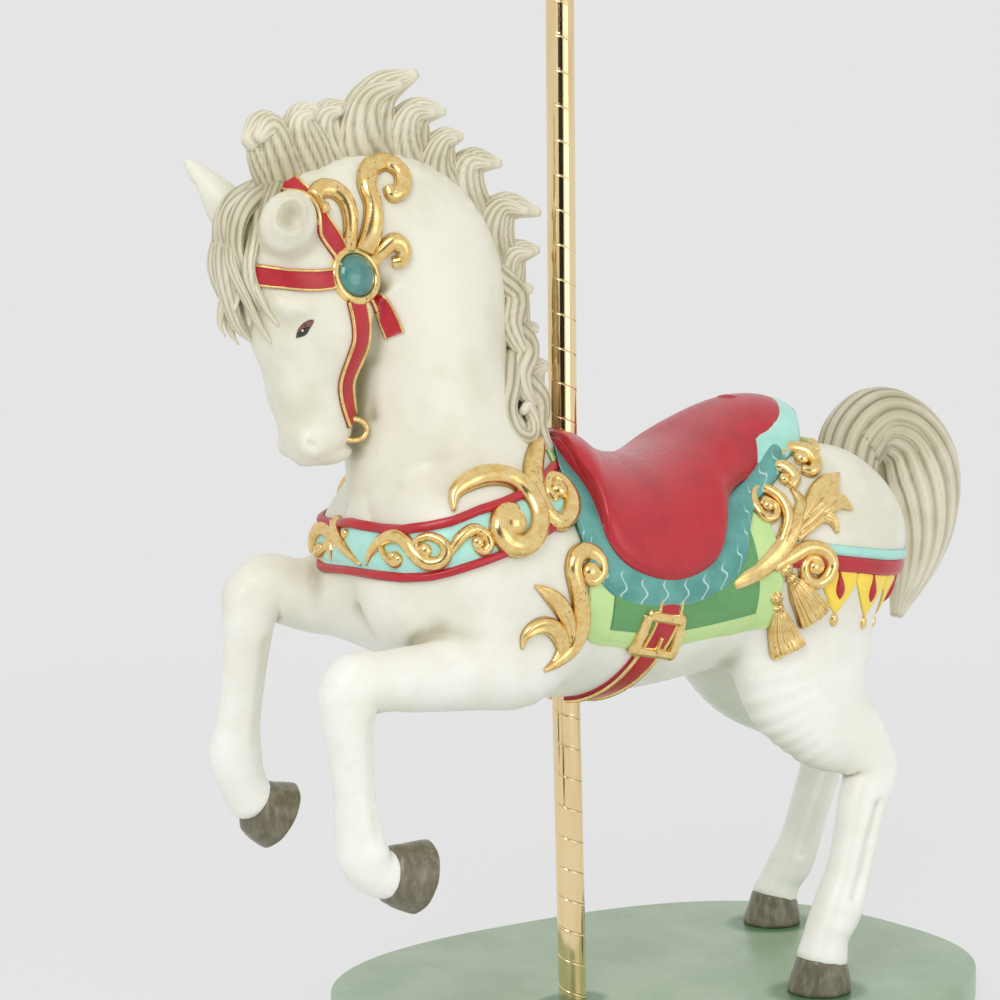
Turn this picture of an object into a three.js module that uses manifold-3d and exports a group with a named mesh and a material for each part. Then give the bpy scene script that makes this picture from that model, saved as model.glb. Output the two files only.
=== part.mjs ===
// Carousel horse: a decorative rearing carousel horse, cast in resin and painted, held by two lengths
// of brass pole over a rounded display base.
// Millimetres, +Z up. The horse faces -X and its decorated near side faces -Y.
// The origin is the centre of the base's underside.
import * as THREE from "three";
import { mergeVertices } from "three/addons/utils/BufferGeometryUtils.js";
import Module from "manifold-3d";

const wasm = await Module();
wasm.setup();

// ---------- driving dimensions ----------
const BASE_LONG = 940; // base length along X
const BASE_WIDE = 670; // base width along Y
const BASE_T = 45; // base thickness
const BASE_ROUND = 2.6; // superellipse exponent of its outline
const BASE_EDGE = 5; // rounded rim of its top edge
const POLE_X = -188; // foot of the lower pole, from the base's centre
const POLE_Y = -45; // the horse's middle plane, from the base's centre
const POLE_R = 19; // both tubes
const LOWER_LEAN = 1.7; // degrees, top of the tube forward
const UPPER_LEAN = 0.6; // degrees, top of the tube forward
const POLE_TOP = 1640; // height of the upper tube above the base
const SADDLE_SOCKET = 655; // bottom of the socket that holds the upper tube
const BELLY_SOCKET = 480; // top of the socket that holds the lower tube
const BASE_SOCKET = -25; // bottom of the base's socket, under its top face
const GAP = 0.3; // clearance between pieces that touch
const FINEST = 3; // detail smaller than this is closed up where forms are joined
const EXACT = 0; // poles, sockets and base keep every edge
const SADDLE_X = -18; // the upper tube's axis at saddle height

// ---------- solids and lofts ----------
const vec = (x, y, z) => new THREE.Vector3(x, y, z);
const lerp = THREE.MathUtils.lerp;
const rad = THREE.MathUtils.degToRad;
const NEAR = -1;
const FAR = 1;
const SIDES = [NEAR, FAR];

function solidFromMesh(points, faces, tolerance = FINEST) {
  const vertProperties = new Float32Array(points.flatMap((p) => [p.x, p.y, p.z]));
  const triVerts = new Uint32Array(faces.flat());
  const solid = new wasm.Manifold(new wasm.Mesh({ numProp: 3, vertProperties, triVerts, tolerance }));
  if (solid.volume() > 0) return solid;
  const flipped = new Uint32Array(faces.flatMap(([a, b, c]) => [a, c, b]));
  return new wasm.Manifold(new wasm.Mesh({ numProp: 3, vertProperties, triVerts: flipped, tolerance }));
}

function solidFromGeometry(geometry, tolerance = FINEST) {
  const bare = geometry.clone();
  bare.deleteAttribute("normal");
  bare.deleteAttribute("uv");
  const merged = mergeVertices(bare, 1e-3);
  const at = merged.attributes.position;
  const points = Array.from({ length: at.count }, (_, i) => vec(at.getX(i), at.getY(i), at.getZ(i)));
  const index = merged.index.array;
  const faces = [];
  for (let i = 0; i < index.length; i += 3) {
    const [a, b, c] = [index[i], index[i + 1], index[i + 2]];
    if (a !== b && b !== c && c !== a) faces.push([a, b, c]);
  }
  return solidFromMesh(points, faces, tolerance);
}

function geometryFromSolid(solid) {
  const mesh = solid.getMesh();
  const geometry = new THREE.BufferGeometry();
  geometry.setAttribute("position", new THREE.BufferAttribute(new Float32Array(mesh.vertProperties), 3));
  geometry.setIndex(new THREE.BufferAttribute(new Uint32Array(mesh.triVerts), 1));
  geometry.computeVertexNormals();
  return geometry;
}

const join = (solids) => solids.reduce((whole, next) => whole.add(next));

// The casting alone, without the pockets that overlapping forms can close off inside it.
const outerBody = (solid) => solid.decompose().reduce((a, b) => (a.volume() > b.volume() ? a : b));

// A closed skin over rings of equal length, drawn to a point at each end.
function skinRings(rings, first, last) {
  const n = rings[0].length;
  const points = [first, ...rings.flat(), last];
  const at = (ring, k) => 1 + ring * n + (k % n);
  const faces = [];
  for (let k = 0; k < n; k++) {
    faces.push([0, at(0, k + 1), at(0, k)]);
    for (let r = 0; r + 1 < rings.length; r++) {
      faces.push([at(r, k), at(r, k + 1), at(r + 1, k + 1)], [at(r, k), at(r + 1, k + 1), at(r + 1, k)]);
    }
    faces.push([points.length - 1, at(rings.length - 1, k), at(rings.length - 1, k + 1)]);
  }
  return solidFromMesh(points, faces);
}

// A limb: elliptical rings square to a path. Each station is [x, y, z, half width, half depth], the
// width across the horse and the depth in its middle plane. nose is how far each end is rounded out.
function limb(stations, sides = 12, nose = 0.5) {
  const centres = stations.map(([x, y, z]) => vec(x, y, z));
  const tangentAt = (i) => {
    const from = centres[Math.max(i - 1, 0)];
    const to = centres[Math.min(i + 1, centres.length - 1)];
    return to.clone().sub(from).normalize();
  };
  const rings = stations.map(([, , , wide, deep], i) => {
    const along = tangentAt(i);
    const across = vec(0, 1, 0).addScaledVector(along, -along.y).normalize();
    const depth = along.clone().cross(across);
    return Array.from({ length: sides }, (_, k) => {
      const turn = (2 * Math.PI * (k + 0.5)) / sides;
      return centres[i]
        .clone()
        .addScaledVector(across, wide * Math.cos(turn))
        .addScaledVector(depth, deep * Math.sin(turn));
    });
  });
  const end = (i, way) => {
    const reach = Math.min(stations[i][3], stations[i][4]) * nose * way;
    return centres[i].clone().addScaledVector(tangentAt(i), reach);
  };
  return skinRings(rings, end(0, -1), end(stations.length - 1, 1));
}

// The same limb from a few stations, smoothed along its length by a curve through them.
function smoothLimb(stations, steps, sides = 12, nose = 0.5) {
  const path = new THREE.CatmullRomCurve3(stations.map(([x, y, z]) => vec(x, y, z)), false, "centripetal");
  const size = new THREE.CatmullRomCurve3(stations.map(([, , , w, d]) => vec(w, d, 0)), false, "centripetal");
  const fine = Array.from({ length: steps + 1 }, (_, i) => {
    const at = path.getPoint(i / steps);
    const half = size.getPoint(i / steps);
    return [at.x, at.y, at.z, Math.max(half.x, 0.5), Math.max(half.y, 0.5)];
  });
  return limb(fine, sides, nose);
}

function ball([x, y, z], [rx, ry, rz], turnY = 0, around = 7, high = 5) {
  const geometry = new THREE.SphereGeometry(1, around, high);
  geometry.scale(rx, ry, rz);
  geometry.rotateY(turnY);
  geometry.translate(x, y, z);
  return solidFromGeometry(geometry);
}

// ---------- the horse's body ----------
// Trunk: upright rings [x, top, bottom, half width], from the chest to the rump.
const TRUNK = [
  [-336, 668, 560, 62],
  [-318, 702, 515, 104],
  [-285, 727, 478, 134],
  [-235, 740, 450, 150],
  [-165, 744, 430, 158],
  [-85, 737, 417, 161],
  [0, 720, 413, 162],
  [85, 711, 417, 163],
  [170, 716, 427, 165],
  [250, 732, 438, 168],
  [330, 746, 450, 172],
  [405, 743, 472, 168],
  [460, 724, 502, 148],
  [500, 692, 532, 112],
  [522, 655, 565, 62],
];
const TRUNK_SIDES = 16;

function trunk() {
  const rings = TRUNK.map(([x, top, bottom, wide]) => {
    const middle = (top + bottom) / 2;
    const high = (top - bottom) / 2;
    return Array.from({ length: TRUNK_SIDES }, (_, k) => {
      const turn = (2 * Math.PI * k) / TRUNK_SIDES;
      return vec(x, wide * Math.cos(turn), middle + high * Math.sin(turn));
    });
  });
  return skinRings(rings, vec(-343, 0, 614), vec(530, 0, 612));
}

// Neck: an arched neck from the withers to the poll.
const NECK = [
  [-150, 0, 600, 130, 150],
  [-190, 0, 680, 118, 148],
  [-218, 0, 755, 100, 124],
  [-232, 0, 835, 88, 108],
  [-234, 0, 905, 82, 113],
  [-240, 0, 950, 78, 114],
  [-255, 0, 985, 74, 110],
  [-283, 0, 1010, 70, 102],
  [-320, 0, 1022, 66, 90],
  [-355, 0, 1022, 62, 80],
  [-392, 0, 1012, 58, 70],
];

// Head: down the face from the poll to the lips.
const HEAD = [
  [-360, 0, 1020, 50, 60],
  [-405, 0, 1020, 56, 66],
  [-428, 0, 985, 62, 72],
  [-424, 0, 935, 66, 72],
  [-418, 0, 888, 66, 66],
  [-409, 0, 842, 54, 53],
  [-402, 0, 800, 43, 43],
  [-395, 0, 765, 40, 41],
  [-390, 0, 744, 37, 38],
  [-386, 0, 732, 28, 31],
];

function head() {
  const parts = [limb(HEAD, 10, 0.25)];
  for (const side of SIDES) {
    parts.push(ball([-385, 34 * side, 900], [44, 34, 58])); // cheek
    parts.push(ball([-455, 50 * side, 905], [26, 20, 20])); // brow over the eye
    parts.push(ear(side));
  }
  parts.push(ball([-416, 0, 750], [20, 40, 20])); // nostrils
  parts.push(ball([-368, 0, 738], [20, 24, 14])); // lower lip
  return join(parts);
}

// Ears: each a cup along a line of [x, y, z, half width, half depth] stations. The far ear is pricked
// forward, and the near one is turned out to the side, a short round bowl.
const EARS = {
  [FAR]: [[-449, 41, 988, 20, 18], [-468, 57, 1020, 27, 20], [-490, 76, 1056, 20, 15], [-516, 96, 1094, 5, 4]],
  [NEAR]: [[-445, -30, 1000, 24, 26], [-460, -52, 1008, 30, 36], [-472, -74, 1016, 30, 37], [-480, -86, 1024, 20, 26]],
};
const EAR_HOLLOWS = { [FAR]: [[-482, 74, 1030], [17, 14, 24]], [NEAR]: [[-486, -90, 1014], [20, 24, 26]] };

function ear(side) {
  const [centre, radii] = EAR_HOLLOWS[side];
  return limb(EARS[side], 8).subtract(ball(centre, radii, 0.5));
}

// ---------- legs ----------
// Each leg is [x, y, z, half width, half depth] from the trunk down to the coronet.
const LEGS = {
  nearFore: [
    [-120, -88, 520, 52, 74],
    [-168, -108, 478, 46, 56],
    [-235, -117, 474, 42, 48],
    [-310, -122, 472, 37, 41],
    [-375, -124, 473, 34, 36],
    [-417, -125, 468, 34, 40],
    [-424, -125, 430, 30, 32],
    [-420, -125, 385, 25, 26],
    [-415, -125, 336, 24, 25],
    [-411, -125, 298, 27, 29],
    [-404, -125, 268, 29, 31],
    [-388, -124, 248, 28, 29],
    [-372, -123, 242, 28, 29],
  ],
  farFore: [
    [-170, 78, 535, 56, 72],
    [-225, 95, 541, 50, 60],
    [-290, 104, 548, 44, 50],
    [-352, 110, 556, 38, 43],
    [-405, 112, 568, 35, 42],
    [-424, 112, 540, 32, 36],
    [-430, 112, 492, 28, 29],
    [-437, 112, 440, 26, 27],
    [-443, 112, 397, 27, 28],
    [-447, 112, 362, 30, 34],
    [-438, 112, 327, 29, 30],
    [-425, 112, 300, 29, 30],
  ],
  nearHind: [
    [300, -84, 560, 78, 120],
    [312, -98, 480, 72, 120],
    [318, -112, 415, 60, 106],
    [345, -124, 365, 48, 76],
    [388, -136, 326, 40, 52],
    [406, -144, 292, 35, 42],
    [386, -149, 245, 30, 35],
    [372, -152, 198, 28, 33],
    [355, -154, 148, 29, 33],
    [336, -155, 108, 32, 36],
    [316, -156, 74, 29, 32],
    [308, -156, 46, 33, 36],
  ],
  farHind: [
    [330, 84, 560, 76, 116],
    [360, 96, 480, 68, 110],
    [400, 104, 420, 58, 92],
    [470, 112, 366, 48, 70],
    [545, 118, 318, 40, 50],
    [580, 122, 284, 35, 41],
    [574, 130, 235, 30, 34],
    [561, 139, 180, 28, 32],
    [549, 147, 128, 29, 32],
    [536, 153, 92, 31, 35],
    [520, 158, 66, 29, 32],
    [510, 161, 44, 33, 36],
  ],
};

// Hoof: rings from the coronet to the flat sole, [distance along the axis, radius].
const HOOF = [[-6, 30], [0, 37], [44, 46]];

function hoof(centre, axis, shorten = 1) {
  const profile = HOOF.map(([along, r]) => new THREE.Vector2(r, along * shorten));
  const ends = [new THREE.Vector2(0, profile[0].y), ...profile, new THREE.Vector2(0, profile.at(-1).y)];
  const geometry = new THREE.LatheGeometry(ends, 9);
  geometry.applyQuaternion(new THREE.Quaternion().setFromUnitVectors(vec(0, 1, 0), axis.normalize()));
  geometry.translate(...centre);
  return solidFromGeometry(geometry);
}

function legs() {
  const parts = Object.values(LEGS).map((stations) => limb(stations, 8));
  parts.push(hoof([-364, -122, 240], vec(1, 0, -0.3), 0.95));
  parts.push(hoof([-418, 112, 290], vec(0.86, 0, -0.5), 0.8));
  parts.push(hoof([307, -156, 44 + GAP], vec(0, 0, -1)));
  parts.push(hoof([508, 161, 44 + GAP], vec(-0.06, 0, -1)).trimByPlane([0, 0, 1], GAP));
  return join(parts);
}

// ---------- mane, forelock and tail ----------
// Locks: [x, y, z, half thickness across the horse, half width in its plane] from root to tip.
const LOCKS = [
  [[-430, 0, 1050, 22, 26], [-452, -8, 1095, 24, 30], [-470, -14, 1128, 18, 22], [-493, -16, 1112, 6, 8]],
  [[-395, 0, 1070, 22, 26], [-408, -6, 1115, 22, 26], [-412, -8, 1146, 16, 18], [-398, -8, 1160, 5, 6]],
  [[-358, 0, 1085, 22, 28], [-374, 4, 1125, 20, 26], [-368, 2, 1152, 14, 16], [-348, 0, 1163, 5, 6]],
  [[-308, 0, 1090, 24, 34], [-318, 0, 1140, 22, 30], [-306, 0, 1184, 17, 23], [-250, 0, 1210, 5, 6]],
  [[-258, 0, 1085, 24, 30], [-262, 0, 1128, 22, 27], [-246, 0, 1164, 15, 18], [-208, 0, 1168, 4, 5]],
  [[-212, 0, 1065, 22, 28], [-222, -4, 1104, 20, 24], [-208, -4, 1132, 13, 15], [-190, -4, 1138, 4, 5]],
  [[-172, 0, 1035, 24, 30], [-176, 0, 1078, 20, 26], [-160, 0, 1110, 14, 17], [-126, 0, 1106, 4, 5]],
  [[-140, 0, 990, 24, 32], [-128, 0, 1030, 20, 27], [-104, 0, 1054, 14, 16], [-62, 0, 1048, 4, 5]],
  [[-122, 0, 940, 24, 32], [-106, 0, 978, 20, 24], [-90, 0, 998, 13, 15], [-66, 0, 1000, 4, 5]],
  [[-116, 0, 888, 24, 32], [-104, -6, 926, 20, 22], [-92, -6, 950, 8, 10]],
  [[-112, 0, 840, 26, 34], [-98, -4, 876, 22, 25], [-78, -4, 898, 8, 9]],
  [[-112, 0, 780, 30, 38], [-92, -8, 820, 26, 34], [-66, -8, 846, 12, 14]],
  [[-100, -14, 740, 34, 34], [-100, -26, 780, 34, 46], [-80, -20, 800, 20, 30]],
];
const FORELOCK = [
  [-466, -6, 1058, 30, 20],
  [-494, -4, 1030, 34, 20],
  [-504, 0, 980, 34, 16],
  [-498, 0, 930, 30, 14],
  [-484, 0, 888, 14, 8],
];
const TAIL = [
  [505, 0, 660, 36, 44],
  [505, 0, 735, 44, 52],
  [545, 0, 768, 48, 52],
  [600, 0, 755, 50, 60],
  [640, 0, 700, 50, 76],
  [648, 0, 635, 46, 68],
  [636, 0, 570, 36, 48],
  [602, 0, 480, 8, 9],
];
const TAIL_STRANDS = 4;

function hair() {
  const parts = LOCKS.map((stations) => smoothLimb(stations, 5, 5, 0.6));
  parts.push(smoothLimb(FORELOCK, 5, 6));
  parts.push(smoothLimb(TAIL, 9, 9));
  for (let i = 0; i < TAIL_STRANDS; i++) {
    const spread = i / (TAIL_STRANDS - 1) - 0.5;
    const strand = TAIL.slice(1).map(([x, , z, wide, deep], k) => {
      const out = 0.78 * deep * (0.5 + k / 14);
      const lean = spread * 1.7;
      return [x + out * Math.sin(lean + 0.8), wide * 0.8 * Math.cos(lean * 1.6) * NEAR, z + out * spread, 12, 14];
    });
    strand.at(-1)[3] = 3;
    strand.at(-1)[4] = 3;
    parts.push(smoothLimb(strand, 7, 4));
  }
  return join(parts);
}

// ---------- what lies on the horse: found by rays onto the bare casting ----------
let bare = null; // the bare casting as a mesh, set in makeHorse
const caster = new THREE.Raycaster();

// The point and outward direction where a ray from far outside first meets the casting. The nudge keeps
// a ray off the edges between facets, which it could slip through.
const NUDGE = vec(0.037, 0.011, 0.023);

function touch(target, outward, far = 600) {
  const way = outward.clone().normalize();
  caster.set(target.clone().add(NUDGE).addScaledVector(way, far), way.clone().negate());
  const hit = caster.intersectObject(bare)[0];
  if (!hit) return { point: target.clone(), normal: way };
  return { point: hit.point, normal: hit.face.normal.clone().lerp(way, 0.4).normalize() };
}

const SPINE_Z = 600; // axis that the cloths are wrapped about

// Height of the skin of the trunk at an angle from straight up, on either side.
function wrapPoint(x, angle) {
  const way = vec(0, Math.sin(angle), Math.cos(angle));
  return touch(vec(x, 0, SPINE_Z), way);
}

// The angle down the side at which the casting reaches height z.
function angleAt(x, z) {
  let low = 0;
  let high = rad(150);
  for (let i = 0; i < 14; i++) {
    const middle = (low + high) / 2;
    if (wrapPoint(x, middle).point.z > z) low = middle;
    else high = middle;
  }
  return low;
}

// A cloth laid over the back: columns along X, each down to edge(x), raised by thick(x, angle).
function cloth(xs, edge, thick, rows = 8, sunk = 8) {
  const outer = [];
  const inner = [];
  for (const x of xs) {
    const limit = angleAt(x, edge(x));
    for (let k = 0; k <= rows; k++) {
      const angle = lerp(-limit, limit, k / rows);
      const { point } = wrapPoint(x, angle);
      const way = vec(0, Math.sin(angle), Math.cos(angle));
      outer.push(point.clone().addScaledVector(way, thick(x, angle)));
      inner.push(point.clone().addScaledVector(way, -sunk));
    }
  }
  return slab(outer, inner, xs.length, rows + 1);
}

// A closed slab between two grids of points with the same layout.
function slab(outer, inner, columns, rows) {
  const points = [...outer, ...inner];
  const top = (i, k) => i * rows + k;
  const low = (i, k) => outer.length + top(i, k);
  const faces = [];
  const quad = (a, b, c, d) => faces.push([a, b, c], [a, c, d]);
  for (let i = 0; i + 1 < columns; i++) {
    for (let k = 0; k + 1 < rows; k++) {
      quad(top(i, k), top(i + 1, k), top(i + 1, k + 1), top(i, k + 1));
      quad(low(i, k), low(i, k + 1), low(i + 1, k + 1), low(i + 1, k));
    }
    quad(low(i, 0), low(i + 1, 0), top(i + 1, 0), top(i, 0));
    quad(top(i, rows - 1), top(i + 1, rows - 1), low(i + 1, rows - 1), low(i, rows - 1));
  }
  for (let k = 0; k + 1 < rows; k++) {
    quad(top(0, k), top(0, k + 1), low(0, k + 1), low(0, k));
    quad(low(columns - 1, k), low(columns - 1, k + 1), top(columns - 1, k + 1), top(columns - 1, k));
  }
  return solidFromMesh(points, faces);
}

const range = (from, to, steps) => Array.from({ length: steps + 1 }, (_, i) => lerp(from, to, i / steps));

// A value read off a chain of [position, value] pairs.
function along(pairs, x) {
  for (let i = 1; i < pairs.length; i++) {
    const [x0, v0] = pairs[i - 1];
    const [x1, v1] = pairs[i];
    if (x <= x1) return lerp(v0, v1, THREE.MathUtils.clamp((x - x0) / (x1 - x0), 0, 1));
  }
  return pairs.at(-1)[1];
}

// Saddle: its lower edge and its top line over the back, as [x, z].
const SADDLE_EDGE = [[-85, 715], [-72, 670], [-52, 630], [-20, 592], [20, 579], [75, 583], [108, 612],
  [124, 698], [195, 732], [262, 762], [325, 800]];
const SADDLE_TOP = [[-85, 756], [-30, 756], [0, 742], [44, 735], [129, 750], [195, 776], [262, 808],
  [325, 812]];
const CLOTH_EDGE = [[-120, 720], [-108, 650], [-90, 590], [-50, 555], [0, 546], [55, 550], [110, 570],
  [146, 598], [158, 660], [200, 682], [262, 712], [318, 748], [350, 785]];
const CLOTH_TOP = [[-120, 748], [-85, 750], [0, 726], [85, 718], [170, 742], [262, 785], [318, 806],
  [350, 800]];
const BLANKET = { front: -106, back: 212, z: 503, thick: 5 };
const FLAP = 17; // how far the saddle's flaps stand off the casting
const BORDER = 10; // and the bordered cloth under it

function saddleSolids() {
  const raise = (top, flap) => (x, angle) => {
    const crown = along(top, x) - wrapPoint(x, 0).point.z;
    const share = Math.max(Math.cos(angle), 0) ** 1.2;
    return lerp(flap, Math.max(crown, flap), share);
  };
  const blanketEdge = () => BLANKET.z;
  return [
    cloth(range(BLANKET.front, BLANKET.back, 6), blanketEdge, () => BLANKET.thick),
    cloth(CLOTH_EDGE.map(([x]) => x), (x) => along(CLOTH_EDGE, x), raise(CLOTH_TOP, BORDER)),
    cloth(SADDLE_EDGE.map(([x]) => x), (x) => along(SADDLE_EDGE, x), raise(SADDLE_TOP, FLAP)),
  ];
}

// Breast band: height of its lower and upper edges against the angle round the chest from straight ahead.
const BAND_AXIS = vec(-150, 0, 0);
const BAND_LOW = [[0, 586], [45, 588], [75, 602], [100, 640], [118, 668]];
const BAND_HIGH = [[0, 656], [45, 658], [75, 684], [100, 714], [118, 728]];
const BAND_ROWS = [[0, 11], [0.22, 11], [0.23, 7], [0.77, 7], [0.78, 11], [1, 11]]; // [share up, thickness]
const BAND_REACH = 112; // degrees round from straight ahead, on each side

function breastBand() {
  const outer = [];
  const inner = [];
  const turns = range(-BAND_REACH, BAND_REACH, 14);
  for (const turn of turns) {
    const size = Math.abs(turn);
    const way = vec(-Math.cos(rad(turn)), Math.sin(rad(turn)), 0);
    for (const [share, thick] of BAND_ROWS) {
      const z = lerp(along(BAND_LOW, size), along(BAND_HIGH, size), share);
      const { point } = touch(BAND_AXIS.clone().setZ(z), way);
      outer.push(point.clone().addScaledVector(way, thick));
      inner.push(point.clone().addScaledVector(way, -10));
    }
  }
  return [slab(outer, inner, turns.length, BAND_ROWS.length)];
}

// Crupper: the band round the hindquarters, with pennants and drops hanging from it.
const CRUPPER = { from: 205, low: 566, high: 612, thick: 6, columns: 9, pennants: 4, reach: 46 };

function crupper() {
  const columns = range(0, 1, CRUPPER.columns);
  const at = (share, side) => {
    const turn = lerp(0, Math.PI / 2, Math.max(share - 0.45, 0) / 0.55);
    const x = lerp(CRUPPER.from, 370, Math.min(share / 0.45, 1));
    return { base: vec(x, 0, 0), way: vec(Math.sin(turn), side * Math.cos(turn), 0) };
  };
  const parts = [];
  for (const side of SIDES) {
    const outer = [];
    const inner = [];
    for (const share of columns) {
      const { base, way } = at(share, side);
      for (const z of [CRUPPER.low, CRUPPER.high]) {
        const { point } = touch(base.clone().setZ(z), way);
        outer.push(point.clone().addScaledVector(way, CRUPPER.thick));
        inner.push(point.clone().addScaledVector(way, -10));
      }
    }
    parts.push(slab(outer, inner, columns.length, 2));
    for (let i = 0; i < CRUPPER.pennants && side === NEAR; i++) {
      const middle = lerp(0.5, 0.95, i / (CRUPPER.pennants - 1));
      const half = 0.04;
      const corners = [[middle - half, CRUPPER.low + 4], [middle + half, CRUPPER.low + 4],
        [middle + 0.008, CRUPPER.low - CRUPPER.reach], [middle - 0.008, CRUPPER.low - CRUPPER.reach]];
      const grid = [0, 3, 1, 2].map((k) => {
        const { base, way } = at(corners[k][0], side);
        return { ...touch(base.clone().setZ(corners[k][1]), way), way };
      });
      const lift = (out) => grid.map(({ point, way }) => point.clone().addScaledVector(way, out));
      parts.push(slab(lift(5), lift(-10), 2, 2));
    }
  }
  return parts;
}

// A raised cord or leaf laid on one side of the horse through [x, z, half width] points.
function laid(side, knots, { rise = 0.35, flat = 1, steps = knots.length - 1, sides = 4 } = {}) {
  const curve = new THREE.CatmullRomCurve3(knots.map(([x, z]) => vec(x, 0, z)), false, "centripetal");
  const girth = new THREE.CatmullRomCurve3(knots.map(([, , r]) => vec(r, 0, 0)), false, "centripetal");
  const spots = Array.from({ length: steps + 1 }, (_, i) => {
    const flatPoint = curve.getPoint(i / steps);
    const r = Math.max(girth.getPoint(i / steps).x, 1);
    const { point, normal } = touch(flatPoint, vec(0, side, 0));
    return { at: point.addScaledVector(normal, r * rise), normal, r };
  });
  const rings = spots.map(({ at, normal, r }, i) => {
    const from = spots[Math.max(i - 1, 0)].at;
    const to = spots[Math.min(i + 1, steps)].at;
    const tangent = to.clone().sub(from).normalize();
    const across = normal.clone().cross(tangent).normalize();
    const out = tangent.clone().cross(across).normalize();
    return Array.from({ length: sides }, (_, k) => {
      const turn = (2 * Math.PI * k) / sides;
      return at
        .clone()
        .addScaledVector(across, r * Math.cos(turn))
        .addScaledVector(out, r * flat * Math.sin(turn));
    });
  });
  const cap = (i, j) => spots[i].at.clone().lerp(spots[j].at, -0.3);
  return skinRings(rings, cap(0, 1), cap(steps, steps - 1));
}

// Points of a volute: it winds from angle a0 to a1 (degrees, in the side view) and closes from r0 to r1.
function volute([cx, cz], r0, r1, a0, a1, thick0, thick1, count = 7) {
  return range(0, 1, count - 1).map((t) => {
    const turn = rad(lerp(a0, a1, t));
    const r = lerp(r0, r1, t);
    return [cx + r * Math.cos(turn), cz + r * Math.sin(turn), lerp(thick0, thick1, t)];
  });
}

// Gilded scrollwork on each side, in the side view: x grows to the tail, z up.
const SCROLLS = [
  [[-282, 672, 6], [-266, 700, 9], ...volute([-212, 662], 50, 14, 115, -330, 11, 7, 9)],
  [[-138, 770, 5], [-156, 742, 9], ...volute([-136, 694], 30, 10, 160, 520, 10, 6, 7)],
  [[-178, 470, 3], [-150, 488, 10], [-122, 520, 12], [-118, 560, 11], ...volute([-100, 590], 22, 8, 180, -160, 9, 7, 6)],
  [[-190, 582, 3], [-160, 562, 9], [-138, 520, 8], [-136, 495, 4]],
  [[-204, 512, 3], [-180, 528, 9], [-152, 512, 9], [-146, 492, 4]],
  [[127, 568, 5], [175, 592, 9], [225, 628, 9], ...volute([196, 662], 24, 8, -20, 330, 8, 6, 6)],
  [[180, 590, 4], [238, 600, 8], ...volute([276, 580], 24, 9, 110, -250, 9, 7, 6)],
  [[225, 622, 6], [262, 650, 9], [290, 680, 12], [308, 706, 12], [318, 728, 4]],
  [[255, 640, 5], [300, 640, 10], [332, 628, 4]],
  [[262, 690, 6], [268, 720, 10], ...volute([300, 728], 20, 7, 170, -100, 8, 6, 5)],
];
const FAR_SCROLLS = [SCROLLS[0], SCROLLS[5]]; // the far side is plainer

function scrollwork() {
  const parts = [];
  for (const side of SIDES) {
    for (const knots of side === NEAR ? SCROLLS : FAR_SCROLLS) parts.push(laid(side, knots));
    if (side === NEAR) parts.push(...tassels(side));
  }
  return parts;
}

// Two tassels hang from the rear scroll on each side: a knob over a flared skirt.
const TASSELS = [[[214, 588], [272, 516]], [[202, 556], [232, 482]]];

function tassels(side) {
  return TASSELS.map(([[x0, z0], [x1, z1]]) => {
    const at = (t, r) => [lerp(x0, x1, t), lerp(z0, z1, t), r];
    const knots = [at(0, 4), at(0.1, 11), at(0.22, 11), at(0.28, 7), at(0.4, 12), at(0.7, 18), at(1, 21)];
    return laid(side, knots, { flat: 0.75, steps: 6, sides: 5 });
  });
}

// Bridle straps on the head: a flat ribbon through [x, y, z] points, pressed onto the casting.
function ribbon(knots, half, thick = 5) {
  const curve = new THREE.CatmullRomCurve3(knots.map(([p]) => vec(...p)), false, "centripetal");
  const ways = new THREE.CatmullRomCurve3(knots.map(([, w]) => vec(...w)), false, "centripetal");
  const steps = knots.length + 1;
  const spots = range(0, 1, steps).map((t) => {
    const way = ways.getPoint(t).normalize();
    return { ...touch(curve.getPoint(t), way, 250), way };
  });
  const outer = [];
  const inner = [];
  spots.forEach(({ point, way }, i) => {
    const tangent = spots[Math.min(i + 1, steps)].point.clone().sub(spots[Math.max(i - 1, 0)].point);
    const across = way.clone().cross(tangent).normalize();
    for (const k of [-half, half]) {
      const edge = touch(point.clone().addScaledVector(across, k).addScaledVector(way, -30), way, 250);
      const drop = edge.point.distanceTo(point) > 3 * half ? point.clone().addScaledVector(across, k) : edge.point;
      outer.push(drop.clone().addScaledVector(way, thick));
      inner.push(drop.clone().addScaledVector(way, -8));
    }
  });
  return slab(outer, inner, steps + 1, 2);
}

const ROSETTE = { x: -386, z: 951, r: 31 };
const STRAP = 11; // half width of the bridle straps

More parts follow.
